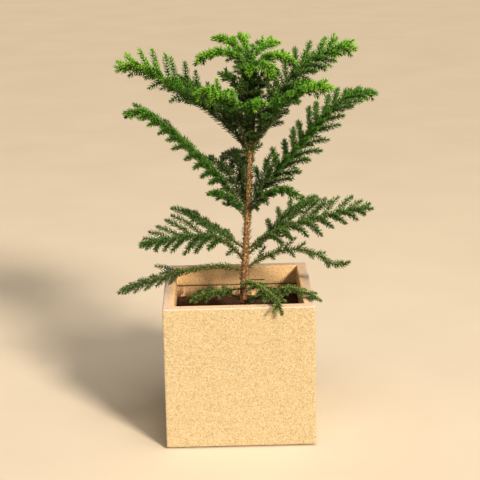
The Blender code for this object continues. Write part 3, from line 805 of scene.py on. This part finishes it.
def ring_faces(rings, sides):
    """Triangles and quads of rings that follow each other, closed by the two points after them."""
    ring, side = np.meshgrid(np.arange(rings - 1), np.arange(sides), indexing="ij")
    low, side = (ring * sides).ravel(), side.ravel()
    high, following = low + sides, (side + 1) % sides
    quads = np.column_stack([low + side, low + following, high + following, high + side])
    end = rings * sides
    closing = [fan(0, sides, end, outward=False), fan(end - sides, sides, end + 1, outward=True)]
    return np.concatenate(closing), quads


def frames_along(line):
    """The way of a line at each point, and two normals carried along it without twist."""
    ways = np.gradient(line, axis=0)
    ways /= np.linalg.norm(ways, axis=1)[:, None]
    normals = np.empty_like(line)
    guide = (0.0, 0.0, 1.0) if abs(ways[0, 2]) < 0.9 else (1.0, 0.0, 0.0)
    normals[0] = unit(np.cross(ways[0], guide))
    for i in range(1, len(line)):
        carried = normals[i - 1] - ways[i] * np.dot(normals[i - 1], ways[i])
        normals[i] = unit(carried)
    return ways, normals, np.cross(ways, normals)


def add_tube(pile, line, radii, sides, relief=None):
    """A closed tube along a line, pushed in and out by a relief of its points."""
    ways, normals, sides_on = frames_along(line)
    angles = np.arange(sides) * math.tau / sides
    spokes = (normals[:, None] * np.cos(angles)[None, :, None]
              + sides_on[:, None] * np.sin(angles)[None, :, None])
    surface = line[:, None] + spokes * np.asarray(radii)[:, None, None]
    if relief:
        pushes = np.array([relief(Vector(point)) for point in surface.reshape(-1, 3)])
        surface = surface + spokes * pushes.reshape(len(line), sides)[..., None]
    points = np.concatenate([surface.reshape(-1, 3), line[:1], line[-1:] + ways[-1:] * radii[-1]])
    pile.add(points, *ring_faces(len(line), sides))


def grain_at(point, grains):
    """Noise of several sizes, each with its own weight, at a point."""
    return sum(noise.noise(point / size) * weight for size, weight in grains)


# Needles

# Faces of one needle: it has three points round its root, three round its middle, and its tip
NEEDLE_QUADS = np.array([[0, 1, 4, 3], [1, 2, 5, 4], [2, 0, 3, 5]])
NEEDLE_TRIANGLES = np.array([[0, 2, 1], [3, 4, 6], [4, 5, 6], [5, 3, 6]])
NEEDLE_POINTS = 7
NEEDLE_FACES = 10


def needle_points(roots, starts, ends, lengths, across, widths):
    """Points of many needles: each leaves its root one way and ends another, which curls it."""
    middles = roots + starts * (lengths * NEEDLE_MIDDLE)[:, None]
    tips = middles + ends * (lengths * (1.0 - NEEDLE_MIDDLE))[:, None]
    half = across * (widths / 2)[:, None]
    deep = np.cross(across, starts) * (widths * NEEDLE_THICKNESS / NEEDLE_WIDTH)[:, None]
    back = deep * (1.0 - NEEDLE_KEEL)
    corners = [half - back, -half - back, deep * NEEDLE_KEEL]
    root_ring = [roots + corner * NEEDLE_ROOT_WIDTH for corner in corners]
    middle_ring = [middles + corner for corner in corners]
    return np.stack(root_ring + middle_ring + [tips], axis=1)


def needle_objects(name, shapes, material):
    """Needles as one or more joined meshes, each under the limit on triangles."""
    shapes = np.concatenate(shapes)
    parts = math.ceil(len(shapes) * NEEDLE_FACES / MOST_TRIANGLES)
    made = []
    for number, some in enumerate(np.array_split(shapes, parts)):
        starts = (np.arange(len(some)) * NEEDLE_POINTS)[:, None, None]
        quads = (NEEDLE_QUADS[None] + starts).reshape(-1, 4)
        triangles = (NEEDLE_TRIANGLES[None] + starts).reshape(-1, 3)
        label = name if parts == 1 else f"{name}_{number + 1}"
        made.append(joined(label, some.reshape(-1, 3), quads, triangles, material))
    return made


def turned(ways, aside, angles):
    """Directions turned by angles from some ways to their sides."""
    return ways * np.cos(angles)[:, None] + aside * np.sin(angles)[:, None]


def spray_needles(line, root, rng, spacing, length, fullness=None, rows_pull=NEEDLE_ROWS_PULL):
    """Needles round a stem: their points, and how far along the stem each one stands.

    Their roots are root away from the line. Where a fullness is given for the points of the line,
    it is the share of the needles' length there.
    """
    total = length_of(line)
    count = int(total / spacing)
    shares = (np.arange(count) + rng.random(count)) / count
    rows = max(1.0, round(total / NEEDLE_ROWS_APART))
    shares += rows_pull * ((np.floor(shares * rows) + 0.5) / rows - shares)
    places = shares * total
    fine = evenly(line, NEEDLE_FRAME_STEP, FEWEST_FRAMES)
    at = shares * (len(fine) - 1)
    low = np.minimum(at.astype(int), len(fine) - 2)
    mix = (at - low)[:, None]
    ways, normals, sides_on = (some[low] * (1 - mix) + some[low + 1] * mix for some in frames_along(fine))
    angles = np.arange(count) * GOLDEN_ANGLE + rng.normal(0.0, ANGLE_CHANCE, count)
    spokes = turned(normals, sides_on, angles)
    across = turned(sides_on, -normals, angles)
    ending = np.clip((places - (total - NEEDLE_TIP_STRETCH)) / NEEDLE_TIP_STRETCH, 0.0, 1.0)
    forward = np.radians(NEEDLE_FORWARD + (NEEDLE_FORWARD_AT_TIP - NEEDLE_FORWARD) * ending
                         + rng.normal(0.0, NEEDLE_FORWARD_CHANCE, count))
    starts = turned(ways, spokes, forward)
    ends = turned(ways, spokes, forward - np.radians(NEEDLE_CURL))
    ends[:, 2] += NEEDLE_RISE
    ends /= np.linalg.norm(ends, axis=1)[:, None]
    lengths = length * rng.uniform(*NEEDLE_LENGTH_CHANCE, count) * (1.0 - SHORTER_AT_TIP * ending)
    if fullness is not None:
        lengths *= np.interp(shares, np.linspace(0.0, 1.0, len(fullness)), fullness)
    widths = NEEDLE_WIDTH * rng.uniform(*NEEDLE_WIDTH_CHANCE, count)
    roots = points_at(places, line) + spokes * root
    return needle_points(roots, starts, ends, lengths, across, widths), shares


def freshness(bough, share):
    """How fresh the needles are at a share of the way along a bough."""
    profile = OWN_FRESHNESS.get(bough.name) or LOOKS[whorl_of(bough)].freshness
    return np.interp(share, FRESHNESS_PLACES, profile) + FRESHER.get(bough.name, 0.0)


def own_tone(bough, share):
    """The tone that most needles of a bough have at a share of the way along it, or None."""
    for beginning, (tone, start) in OWN_TONES.items():
        if bough.name.startswith(beginning) and share >= start:
            return tone
    return None


def deal(tones, shapes, fresh, rng, own=None):
    """Give each needle the tone of its freshness, of the painted shade near the trunk, or of its bough's own;
    many that hang down get the deep tone of painted shade.
    """
    count = len(shapes)
    fresh = fresh + rng.normal(0.0, FRESHNESS_CHANCE, count)
    kinds = np.array(list(TONES))[np.searchsorted(TONE_LIMITS, fresh)]
    x, y, height = shapes[:, 0].T
    away = np.hypot(x - trunk_x(height), y) + rng.normal(0.0, SHADE_REACH_CHANCE, count)
    is_shaded = away < np.interp(height, SHADE_HEIGHTS, SHADE_REACHES)
    draw = rng.random(count)
    is_low = height < COOL_SHADE_BELOW
    deep_share, cool_share = COOL_SHADE_SHARES
    # Painted shade near the trunk: deep, and low down some cool ones as partly painted highlight
    kinds[is_shaded & (draw < np.where(is_low, deep_share, SHADE_SHARE))] = "deep"
    kinds[is_shaded & is_low & (draw >= deep_share) & (draw < cool_share)] = "cool"
    # Painted shade on the undersides: many hanging needles get the deep tone
    hangs = height - shapes[:, -1, 2] > HANGING
    is_under = hangs & (rng.random(count) < HANGING_SHARE)
    if own:
        kinds[rng.random(count) < OWN_TONE_SHARE] = own
    kinds[is_under] = "deep"
    for tone, gathered in tones.items():
        gathered.append(shapes[kinds == tone])


def clothe(boughs, masses, tones, twigs):
    """Needles of every spray, short deep ones in its core as painted shade, and a twig inside those of each
    shoot.
    """
    for bough in boughs:
        looks = LOOKS[whorl_of(bough)]
        pull = NEEDLE_ROWS_PULL * looks.rows
        rng = np.random.default_rng(list(bough.name.encode()))
        for number, (share, middle, reach) in enumerate(masses[bough.name]):
            is_stem = number == 0
            if is_stem:
                spacing, full_reach = STEM_NEEDLE_SPACING * looks.stem_sparser, NEEDLE_REACH
            else:
                spacing, full_reach = SHOOT_NEEDLE_SPACING, SHOOT_REACH
            length = NEEDLE_LENGTH * looks.longer * (looks.stem_longer if is_stem else SHOOT_NEEDLE_SHARE)
            fullness = CROWDED_LENGTH + (1.0 - CROWDED_LENGTH) * (reach / full_reach)
            fullness = np.clip(fullness, LEAST_FULLNESS, 1.0)
            spacing *= looks.sparser
            shapes, shares = spray_needles(middle, NEEDLE_ROOT, rng, spacing, length, fullness, pull)
            if is_stem:
                fresh = freshness(bough, shares)
            else:
                fresh = freshness(bough, share) + looks.fresher_ends * shares**2
            deal(tones, shapes, fresh, rng, own_tone(bough, share))
            # Painted shade: short deep needles in the spray's core
            core, _ = spray_needles(middle, NEEDLE_ROOT, rng, CORE_SPACING, CORE_LENGTH, fullness)
            tones["deep"].append(core)
            if not is_stem:
                line = evenly(middle, TWIG_STEP, FEWEST_TWIG_POINTS)
                add_tube(twigs, line, np.linspace(*TWIG_RADII, len(line)), TWIG_SIDES)


def clothe_limbs(boughs, lines, bare, tones):
    """Sparse needles on the boughs' feet, up to where their leafy stems begin."""
    for bough in boughs:
        if bare[bough.name] == 0:
            continue
        rng = np.random.default_rng(list((bough.name + " foot").encode()))
        line = points_at(np.arange(FOOT_NEEDLES_FROM, bough.bare, FOOT_STEP), lines[bough.name])
        spacing = FOOT_SPACING * LOOKS[whorl_of(bough)].foot_sparser
        shapes, _ = spray_needles(line, FOOT_NEEDLE_ROOT, rng, spacing, FOOT_NEEDLE_LENGTH)
        deal(tones, shapes, freshness(bough, 0.0) - FOOT_DULLER, rng)


def clothe_trunk(tones, dry):
    """The trunk's own needles, green and dry."""
    rng = np.random.default_rng(list(b"trunk"))
    for low, high, spacing, length, fresh, is_dry in TRUNK_NEEDLES:
        line = np.array([trunk_centre(height) for height in np.arange(low, high, STEP)])
        root = trunk_radius((low + high) / 2) * TRUNK_NEEDLE_ROOT
        shapes, shares = spray_needles(line, root, rng, spacing, length)
        if is_dry:
            dry.append(shapes)
        else:
            deal(tones, shapes, fresh + TRUNK_FRESHER_UP * shares, rng)


# Trunk and boughs


def bark_relief(point):
    """How far the bark stands out at a point: plates with cracks between them, and grain."""
    scaled = Vector((point.x, point.y, point.z / BARK_PLATE_STRETCH)) / BARK_PLATE
    nearest = noise.voronoi(scaled)[0]
    edge = min(1.0, (nearest[1] - nearest[0]) * BARK_CRACK_SHARPNESS)
    return -BARK_CRACK * (1.0 - edge) + BARK_GRAIN * grain_at(point, BARK_GRAINS)


def limb_relief(point):
    return LIMB_GRAIN * noise.noise(point / LIMB_GRAIN_SIZE)


def collar(height):
    """The trunk's swelling round each whorl."""
    swelling = 0.0
    for whorl in sorted({round(bough.height, 2) for bough in BOUGHS}):
        swelling += COLLAR * math.exp(-(((height - whorl) / COLLAR_HEIGHT) ** 2))
    return swelling


def make_trunk(bark):
    heights = np.arange(SOIL_TOP + GAP, TRUNK_TOP, TRUNK_STEP)
    line = np.array([trunk_centre(height) for height in heights])
    radii = [trunk_radius(height) + collar(height) for height in heights]
    pile = Pile()
    add_tube(pile, line, radii, TRUNK_SIDES, bark_relief)
    return pile.object("trunk_bark", bark)


def make_boughs(boughs, lines, bark, green_bark):
    """Each bough as one tapering limb, brown and woody at its foot and green further out."""
    woody, green = Pile(), Pile()
    for bough in boughs:
        start = trunk_radius(bough.height) * LIMB_IN_TRUNK
        total = length_of(lines[bough.name])
        places = np.arange(start, total, LIMB_STEP)
        line = points_at(places, lines[bough.name])
        root = LIMB_ROOT_RADIUS if bough.length > SHORT_LIMB else SHORT_LIMB_ROOT_RADIUS
        radii = LIMB_TIP_RADIUS + (root - LIMB_TIP_RADIUS) * (1.0 - places / total) ** LIMB_TAPER_POWER
        radii += LIMB_FLARE * np.exp(-(places - start) / LIMB_FLARE_LENGTH)
        split = int(len(line) * WOODY_SHARE) if whorl_of(bough) != "top" else WOODY_RINGS_AT_TOP
        add_tube(woody, line[:split + 2], radii[:split + 2], LIMB_SIDES, limb_relief)
        add_tube(green, line[split:], radii[split:] * GREEN_THICKNESS, LIMB_SIDES - 2)
    return woody.object("boughs_woody", bark), green.object("boughs_green", green_bark)


# Planter


def square_loop(half, height, per_side):
    """Points round a square of a half width, closer together near its rounded corners."""
    steps = np.linspace(-1.0, 1.0, per_side, endpoint=False)
    steps = np.sin(steps * math.pi / 2) * CORNER_CROWDING + steps * (1.0 - CORNER_CROWDING)
    along = steps * half
    out = np.full(per_side, half)
    x = np.concatenate([along, out, -along, -out])
    y = np.concatenate([-out, along, out, -along])
    rounding = min(CORNER_ROUNDING, half * 0.5)
    core = half - rounding
    core_x, core_y = np.clip(x, -core, core), np.clip(y, -core, core)
    reach = np.maximum(np.hypot(x - core_x, y - core_y), 1e-9)
    return np.column_stack([
        core_x + (x - core_x) / reach * rounding,
        core_y + (y - core_y) / reach * rounding,
        np.full(4 * per_side, height),
    ])


def stretch(start, end):
    """Places from a start to an end, about a STONE_STEP apart, without the end."""
    return np.linspace(start, end, max(1, round(abs(end - start) / STONE_STEP)), endpoint=False)


def planter_profile():
    """Half widths and heights from the foot's middle, up the outside, over the rim and down inside."""
    edge = ARRIS_ROUNDING
    bend = ARRIS_ROUNDING * ARRIS_MIDDLE
    kerf_low = KERF_MIDDLE - KERF_WIDTH / 2
    kerf_high = kerf_low + KERF_WIDTH
    return [
        (MIDDLE_RING, 0.0), (POT_HALF - FOOT_INSET, 0.0), (POT_HALF - FOOT_INSET, FOOT_HEIGHT),
        (POT_HALF - edge, FOOT_HEIGHT), (POT_HALF - bend, FOOT_HEIGHT + bend),
        *((POT_HALF, height) for height in stretch(FOOT_HEIGHT + edge, POT_TOP - edge)),
        (POT_HALF, POT_TOP - edge), (POT_HALF - bend, POT_TOP - bend),
        *((width, POT_TOP) for width in stretch(POT_HALF - edge, POT_INNER + edge)),
        (POT_INNER + edge, POT_TOP), (POT_INNER + bend, POT_TOP - bend),
        *((POT_INNER, height) for height in stretch(POT_TOP - edge, kerf_high)),
        (POT_INNER, kerf_high), (POT_INNER + KERF_DEPTH, kerf_high), (POT_INNER + KERF_DEPTH, kerf_low),
        *((POT_INNER, height) for height in stretch(kerf_low, SOIL_TOP - STONE_BELOW_SOIL)),
        (POT_INNER, POT_FLOOR), (MIDDLE_RING, POT_FLOOR),
    ]


def stone_push(x, y, z):
    """How deep the tooling and the chips are at a point of the stone, always inwards."""
    point = Vector((x, y, z))
    tooling = sum((0.5 + 0.5 * noise.noise(point / size)) * weight for size, weight in TOOLING_GRAINS)
    is_sawn = z > POT_TOP - ARRIS_ROUNDING * 0.2
    depth = TOOLING_DEPTH * (SAWN_SHARE if is_sawn else 1.0) * tooling
    to_arris = sorted((POT_HALF - abs(x), POT_HALF - abs(y), POT_TOP - z, abs(z - FOOT_HEIGHT)))[1]
    if to_arris < CHIP_REACH:
        large = max(0.0, noise.noise(point / CHIP_SIZE + Vector(CHIP_SHIFT))) ** 2 * CHIP_WEIGHT
        small = max(0.0, noise.noise(point / SMALL_CHIP_SIZE)) * SMALL_CHIP_WEIGHT
        depth += CHIP_DEPTH * (1.0 - to_arris / CHIP_REACH) * (large + small)
    return depth


def make_planter(stone):
    """The granite cube, hollowed, with tooled faces, a sawn rim, chipped arrises and a kerf inside."""
    profile = planter_profile()
    per_side = round(POT_HALF * 2 / STONE_STEP)
    points = np.concatenate([square_loop(half, height, per_side) for half, height in profile])
    hair = 1e-6
    for point in points:
        x, y, z = point
        wide = max(abs(x), abs(y))
        is_foot = z < FOOT_HEIGHT + hair and wide < POT_HALF - FOOT_INSET + hair
        is_buried = z < SOIL_TOP - SMOOTH_BELOW_SOIL and wide < POT_INNER + hair
        if is_foot or is_buried:
            continue
        depth = stone_push(x, y, z)
        is_outside = wide > POT_HALF - ARRIS_ROUNDING
        is_rim = z > POT_TOP - ARRIS_ROUNDING
        if is_outside:
            point[:2] *= 1.0 - depth / wide
        elif not is_rim:
            point[:2] *= 1.0 + depth / wide
        if is_rim:
            point[2] -= depth
    points = np.concatenate([points, [[0.0, 0.0, 0.0], [0.0, 0.0, POT_FLOOR]]])
    triangles, quads = ring_faces(len(profile), 4 * per_side)
    return joined("planter_stone", points, quads, triangles, stone)


# Soil


def soil_height(x, y):
    """Lumps on the soil, none under the trunk."""
    away = math.hypot(x - TRUNK_FOOT_X, y)
    fade = min(1.0, max(0.0, (away - SOIL_LEVEL_RADIUS) / SOIL_FADE))
    place = Vector((x, y, SOIL_NOISE_LEVEL))
    broad = 0.5 + 0.5 * noise.noise(place / SOIL_LUMP_SIZE)
    grainy = SOIL_GRAIN_AT_TRUNK + (1.0 - SOIL_GRAIN_AT_TRUNK) * fade
    return SOIL_LUMP * fade * broad + grain_at(place, SOIL_GRAINS) * grainy


def make_soil(earth):
    """The soil's surface and the block under it."""
    half = POT_INNER - GAP
    count = round(2 * half / SOIL_STEP)
    ticks = np.linspace(-half, half, count + 1)
    points = [[x, y, SOIL_TOP + soil_height(x, y)] for y in ticks for x in ticks]
    row = count + 1
    x, y = np.meshgrid(np.arange(count), np.arange(count))
    low = (y * row + x).ravel()
    quads = np.column_stack([low, low + 1, low + row + 1, low + row])
    # the rim of the surface goes straight down and closes over the planter's floor
    edge = list(range(row)) + [k * row + count for k in range(1, row)]
    edge += [count * row + k for k in range(count - 1, -1, -1)]
    edge += [k * row for k in range(count - 1, 0, -1)]
    bottom = [[points[k][0], points[k][1], SOIL_BASE] for k in edge]
    start = len(points)
    points = np.array(points + bottom + [[0.0, 0.0, SOIL_BASE]])
    around = np.arange(len(edge))
    following = (around + 1) % len(edge)
    edge = np.array(edge)
    sides = np.column_stack([edge[following], edge[around], start + around, start + following])
    base = fan(start, len(edge), len(points) - 1, outward=False)
    return joined("soil_bed", points, np.concatenate([quads, sides]), base, earth)


def make_crumbs(earth):
    """Loose crumbs on the soil: small lumps with an uneven surface."""
    rng = np.random.default_rng(list(b"crumbs"))
    shape = bmesh.new()
    bmesh.ops.create_icosphere(shape, subdivisions=1, radius=1.0)
    shape.verts.index_update()
    corners = np.array([vert.co for vert in shape.verts])
    faces = np.array([[vert.index for vert in face.verts] for face in shape.faces])
    shape.free()
    half = POT_INNER - CRUMBS_FROM_WALL
    smallest, largest = CRUMB_SIZES
    pile = Pile()
    for _ in range(CRUMB_COUNT):
        x, y = rng.uniform(-half, half, 2)
        if math.hypot(x - TRUNK_FOOT_X, y) < CRUMBS_FROM_TRUNK:
            continue
        size = smallest + (largest - smallest) * rng.random() ** CRUMB_SKEW
        scale = size * rng.uniform(*CRUMB_STRETCH, 3)
        uneven = rng.uniform(*CRUMB_UNEVENNESS, len(corners))[:, None]
        centre = np.array([x, y, SOIL_TOP + soil_height(x, y) + size * CRUMB_RISE])
        pile.add(centre + corners * uneven * scale, faces)
    return pile.object("soil_crumbs", earth)


# Materials


class Nodes:
    """Short names for building a material's nodes."""

    def __init__(self, name):
        self.material = bpy.data.materials.new(name)
        self.material.use_nodes = True
        self.tree = self.material.node_tree
        self.shader = self.tree.nodes["Principled BSDF"]
        self.place = self.tree.nodes.new("ShaderNodeTexCoord").outputs["Object"]

    def put(self, value, socket):
        if isinstance(value, bpy.types.NodeSocket):
            self.tree.links.new(value, socket)
        else:
            socket.default_value = value

    def node(self, kind, inputs, **settings):
        made = self.tree.nodes.new("ShaderNode" + kind)
        for key, value in settings.items():
            setattr(made, key, value)
        for key, value in inputs.items():
            self.put(value, made.inputs[key])
        return made

    def noise(self, scale, detail=3.0, roughness=0.55):
        inputs = {"Vector": self.place, "Scale": scale, "Detail": detail, "Roughness": roughness}
        return self.node("TexNoise", inputs).outputs["Fac"]

    def cells(self, scale, output="Color"):
        return self.node("TexVoronoi", {"Vector": self.place, "Scale": scale}).outputs[output]

    def cell_colours(self, scale):
        """Values from 0 to 1 that differ from cell to cell, as Red, Green and Blue."""
        return self.node("SeparateColor", {"Color": self.cells(scale)}).outputs

    def axis(self, name):
        return self.node("SeparateXYZ", {"Vector": self.place}).outputs[name]

    def ramp(self, share, stops):
        made = self.node("ValToRGB", {"Fac": share})
        elements = made.color_ramp.elements
        while len(elements) < len(stops):
            elements.new(1.0)
        for element, (position, colour) in zip(elements, stops):
            element.position = position
            element.color = (*colour, 1.0)
        return made.outputs["Color"]

    def math(self, operation, value, other=0.0):
        return self.node("Math", {0: value, 1: other}, operation=operation).outputs[0]

    def times(self, product, *factors):
        for factor in factors:
            product = self.math("MULTIPLY", product, factor)
        return product

    def away(self, value, middle=0.0):
        """How far a value is from a middle one, on either side."""
        if middle:
            value = self.math("SUBTRACT", value, middle)
        return self.math("ABSOLUTE", value)

    def span(self, value, low, high):
        """0 at low and 1 at high, in a straight line between them."""
        inputs = {"Value": value, "From Min": low, "From Max": high}
        return self.node("MapRange", inputs).outputs["Result"]

    def mix(self, share, base, colour):
        inputs = {"Factor": share, "A": base, "B": colour}
        return self.node("Mix", inputs, data_type="RGBA").outputs["Result"]

    def over(self, base, colour, *shares):
        """A colour laid over a base, by the product of shares."""
        return self.mix(self.times(*shares), base, (*colour, 1.0))

    def finish(self, colour, roughness, specular, bump=None, distance=0.001, strength=1.0):
        """The material: its colour, its gloss, and a bump of some height, if it has one."""
        self.put(colour, self.shader.inputs["Base Color"])
        self.put(roughness, self.shader.inputs["Roughness"])
        self.shader.inputs["Specular IOR Level"].default_value = specular
        if bump:
            inputs = {"Height": bump, "Distance": distance, "Strength": strength}
            self.put(self.node("Bump", inputs).outputs["Normal"], self.shader.inputs["Normal"])
        return self.material


def shade(colour, factor):
    return tuple(channel * factor for channel in colour)


def needle_material(name, tone):
    """Waxy needles: one base colour, darker or paler from needle to needle, partly at random and partly as
    painted shade and highlight.
    """
    n = Nodes(name)
    bloom = BLOOM if tone.is_waxy else (0.0, 0.0, 0.0)
    # The ramp's dark and pale ends are partly painted shade and painted highlight
    pale = tuple(channel * 2.0 + extra for channel, extra in zip(tone.colour, bloom))
    stops = [(0.34, shade(tone.colour, 0.35)), (0.50, tone.colour), (0.68, pale)]
    return n.finish(n.ramp(n.noise(340.0, detail=2.0), stops), roughness=0.38, specular=0.28)


def bark_material(name):
    """Rough bark: light plates, dark cracks, and grey-green moss in patches."""
    light, dark, mossy = BARKS[name]
    n = Nodes(name)
    plates = n.cells(330.0, "Distance")
    fine = n.noise(900.0)
    patches = [(0.44, dark), (0.50, shade(light, 0.60)), (0.545, shade(light, 1.25))]
    colour = n.ramp(n.noise(210.0, roughness=0.60), patches)
    colour = n.over(colour, dark, n.span(plates, 0.45, 0.70), 0.9)
    colour = n.over(colour, shade(light, 1.35), n.span(fine, 0.35, 0.7), 0.35)
    if mossy:
        colour = n.over(colour, MOSS, n.span(n.noise(45.0), 0.45, 0.65), mossy)
    relief = n.math("ADD", n.times(plates, -1.0), fine)
    return n.finish(colour, 0.85, 0.25, relief, distance=0.0005, strength=0.7)


def stone_material():
    """Yellow granite, tooled rough, with a sawn pinkish rim and earth stains inside, painted shade in its saw
    cuts and under its foot, and inner walls made warmer and lighter, partly as painted light.
    """
    n = Nodes("yellow_granite")
    x, y, z = n.axis("X"), n.axis("Y"), n.axis("Z")
    wide = n.math("MAXIMUM", n.away(x), n.away(y))
    inside = n.span(wide, POT_HALF - 0.010, POT_INNER + 0.004)
    on_rim = n.span(z, POT_TOP - 0.0016, POT_TOP - 0.0010)

    grains = n.cell_colours(560.0)
    colour = n.ramp(grains["Red"], STONE_GRAINS)
    colour = n.over(colour, SPECKS, n.span(n.cell_colours(700.0)["Blue"], 0.90, 0.93), 0.60)
    colour = n.over(colour, OCHRE, n.span(n.noise(26.0, 4.0, 0.6), 0.45, 0.75), 0.12)
    colour = n.mix(on_rim, colour, n.ramp(grains["Green"], RIM_GRAINS))
    # The inner walls are warmer and lighter than the faces outside: partly their own tint, partly painted
    # light
    colour = n.over(colour, WARM_AND_LIT_INSIDE, inside, 0.75)

    pits = n.span(n.noise(360.0, 3.0, 0.6), 0.55, 0.61)
    colour = n.over(colour, RUST, pits, inside, 0.72)
    near_soil = n.span(z, SOIL_TOP + 0.034, SOIL_TOP + 0.004)
    splashes = n.span(n.noise(120.0, 4.0, 0.65), 0.40, 0.50)
    colour = n.over(colour, EARTH_STAIN, near_soil, inside, splashes, 0.90)

    # Painted shade: the kerf's groove and the short cut above it are coloured dark, as the shade inside a saw
    # cut
    kerf = n.span(n.away(z, KERF_MIDDLE), KERF_WIDTH * 0.75, KERF_WIDTH * 0.45)
    colour = n.over(colour, PAINTED_CUT_SHADE, kerf, inside, 0.85)
    cut = n.span(n.away(z, SHORT_CUT_MIDDLE), *SHORT_CUT_HALVES)
    left, right = SHORT_CUT_SPAN
    between_ends = n.times(n.span(x, left, left + 0.001), n.span(x, right, right - 0.001), inside)
    colour = n.over(colour, PAINTED_CUT_SHADE, cut, between_ends, n.span(y, 0.0, 0.01), 0.90)
    # Painted shade: below the foot's top the stone is coloured dark, as the shadow in the recess under the
    # planter
    foot = n.span(z, FOOT_HEIGHT + 0.0004, FOOT_HEIGHT - 0.0004)
    colour = n.over(colour, PAINTED_FOOT_SHADE, foot, 0.90)

    relief = n.math("ADD", n.noise(420.0, 3.0, 0.7), n.times(n.noise(1100.0, 2.0), 0.5))
    roughness = n.math("SUBTRACT", 0.88, n.times(on_rim, 0.18))
    return n.finish(colour, roughness, 0.3, relief, distance=0.0008, strength=0.55)


def soil_material():
    n = Nodes("moist_soil")
    colour = n.ramp(n.noise(420.0, 5.0, 0.7), SOIL_COLOURS)
    return n.finish(colour, 0.92, 0.2, n.noise(650.0, 4.0, 0.7), strength=0.8)


def floor_material():
    n = Nodes("pale_floor")
    return n.finish(n.ramp(n.noise(3.0, 4.0), FLOOR_COLOURS), roughness=0.7, specular=0.3)


# Floor, light and camera


def make_floor():
    mesh = bpy.data.meshes.new("floor")
    corners = [(x * FLOOR_HALF, y * FLOOR_HALF, 0.0) for x, y in ((-1, -1), (1, -1), (1, 1), (-1, 1))]
    mesh.from_pydata(corners, [], [(0, 1, 2, 3)])
    mesh.materials.append(floor_material())
    floor = linked("floor", mesh)


def make_lights():
    """A warm key from the front right, a wide fill from the left, a soft top and a pale surround."""
    for kind, name, place, power, colour, size in LIGHTS:
        light = bpy.data.lights.new(name, kind)
        light.energy = power
        light.color = colour
        if kind == "SUN":
            light.angle = math.radians(size)
        else:
            light.shape = "DISK"
            light.size = size
        lamp = linked(name, light)
        lamp.location = place
        lamp.rotation_euler = (Vector(LIT_POINT) - Vector(place)).to_track_quat("-Z", "Y").to_euler()
    world = bpy.data.worlds.new("surround")
    world.use_nodes = True
    surround = world.node_tree.nodes["Background"].inputs
    surround["Color"].default_value = SURROUND_COLOUR
    surround["Strength"].default_value = SURROUND_STRENGTH
    bpy.context.scene.world = world


def make_camera():
    bpy.context.scene.view_settings.view_transform = "Standard"
    yaw, pitch, roll = (math.radians(angle) for angle in (CAMERA_YAW, CAMERA_PITCH, CAMERA_ROLL))
    ahead = Vector((math.sin(yaw) * math.cos(pitch), math.cos(yaw) * math.cos(pitch), -math.sin(pitch)))
    right = Vector((math.cos(yaw), -math.sin(yaw), 0.0))
    up = right.cross(ahead)
    rolled_right = right * math.cos(roll) + up * math.sin(roll)
    rolled_up = up * math.cos(roll) - right * math.sin(roll)
    turn = Matrix((rolled_right, rolled_up, -ahead)).transposed().to_4x4()
    data = bpy.data.cameras.new("camera")
    data.sensor_width = SENSOR_WIDTH
    data.lens = CAMERA_LENS
    camera = linked("camera", data)
    camera.matrix_world = Matrix.Translation(CAMERA_PLACE) @ turn
    bpy.context.scene.camera = camera


# The whole


def place_pieces(frame):
    """Build every piece with its finish, hide the solids it stands for, and attach it to the root body."""
    boughs = BOUGHS + LEADER_SHOOTS
    lines, bare, masses = grow(boughs)
    foliage = [name for name in frame["nodes"] if name.startswith("foliage_")]
    limbs = [name for name in frame["nodes"] if name.startswith("bough_")]

    planter = make_planter(stone_material())
    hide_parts("planter")
    earth = soil_material()
    soil = make_soil(earth)
    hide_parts("soil")
    crumbs = make_crumbs(earth)
    trunk = make_trunk(bark_material("trunk_bark"))
    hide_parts("trunk")
    woody, green = make_boughs(boughs, lines, bark_material("bough_bark"), bark_material("green_bark"))
    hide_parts(*limbs)

    tones = {tone: [] for tone in TONES}
    dry = []
    twig_pile = Pile()
    clothe(boughs + COLLAR_SHOOTS, masses, tones, twig_pile)
    clothe_limbs(boughs, lines, bare, tones)
    clothe_trunk(tones, dry)
    twigs = twig_pile.object("twigs", bark_material("twig_bark"))
    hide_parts(*foliage)
    pieces = [planter, soil, crumbs, trunk, woody, green, twigs]
    for tone, look in TONES.items():
        name = "needles_" + tone
        for piece in needle_objects(name, tones[tone], needle_material("needle_" + tone, look)):
            pieces.append(piece)
    for piece in needle_objects("needles_dry", dry, bark_material("dry_needle")):
        pieces.append(piece)
    for piece in pieces:
        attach(piece, "root")


def main():
    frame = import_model()
    make_camera()
    make_floor()
    make_lights()
    place_pieces(frame)


main()
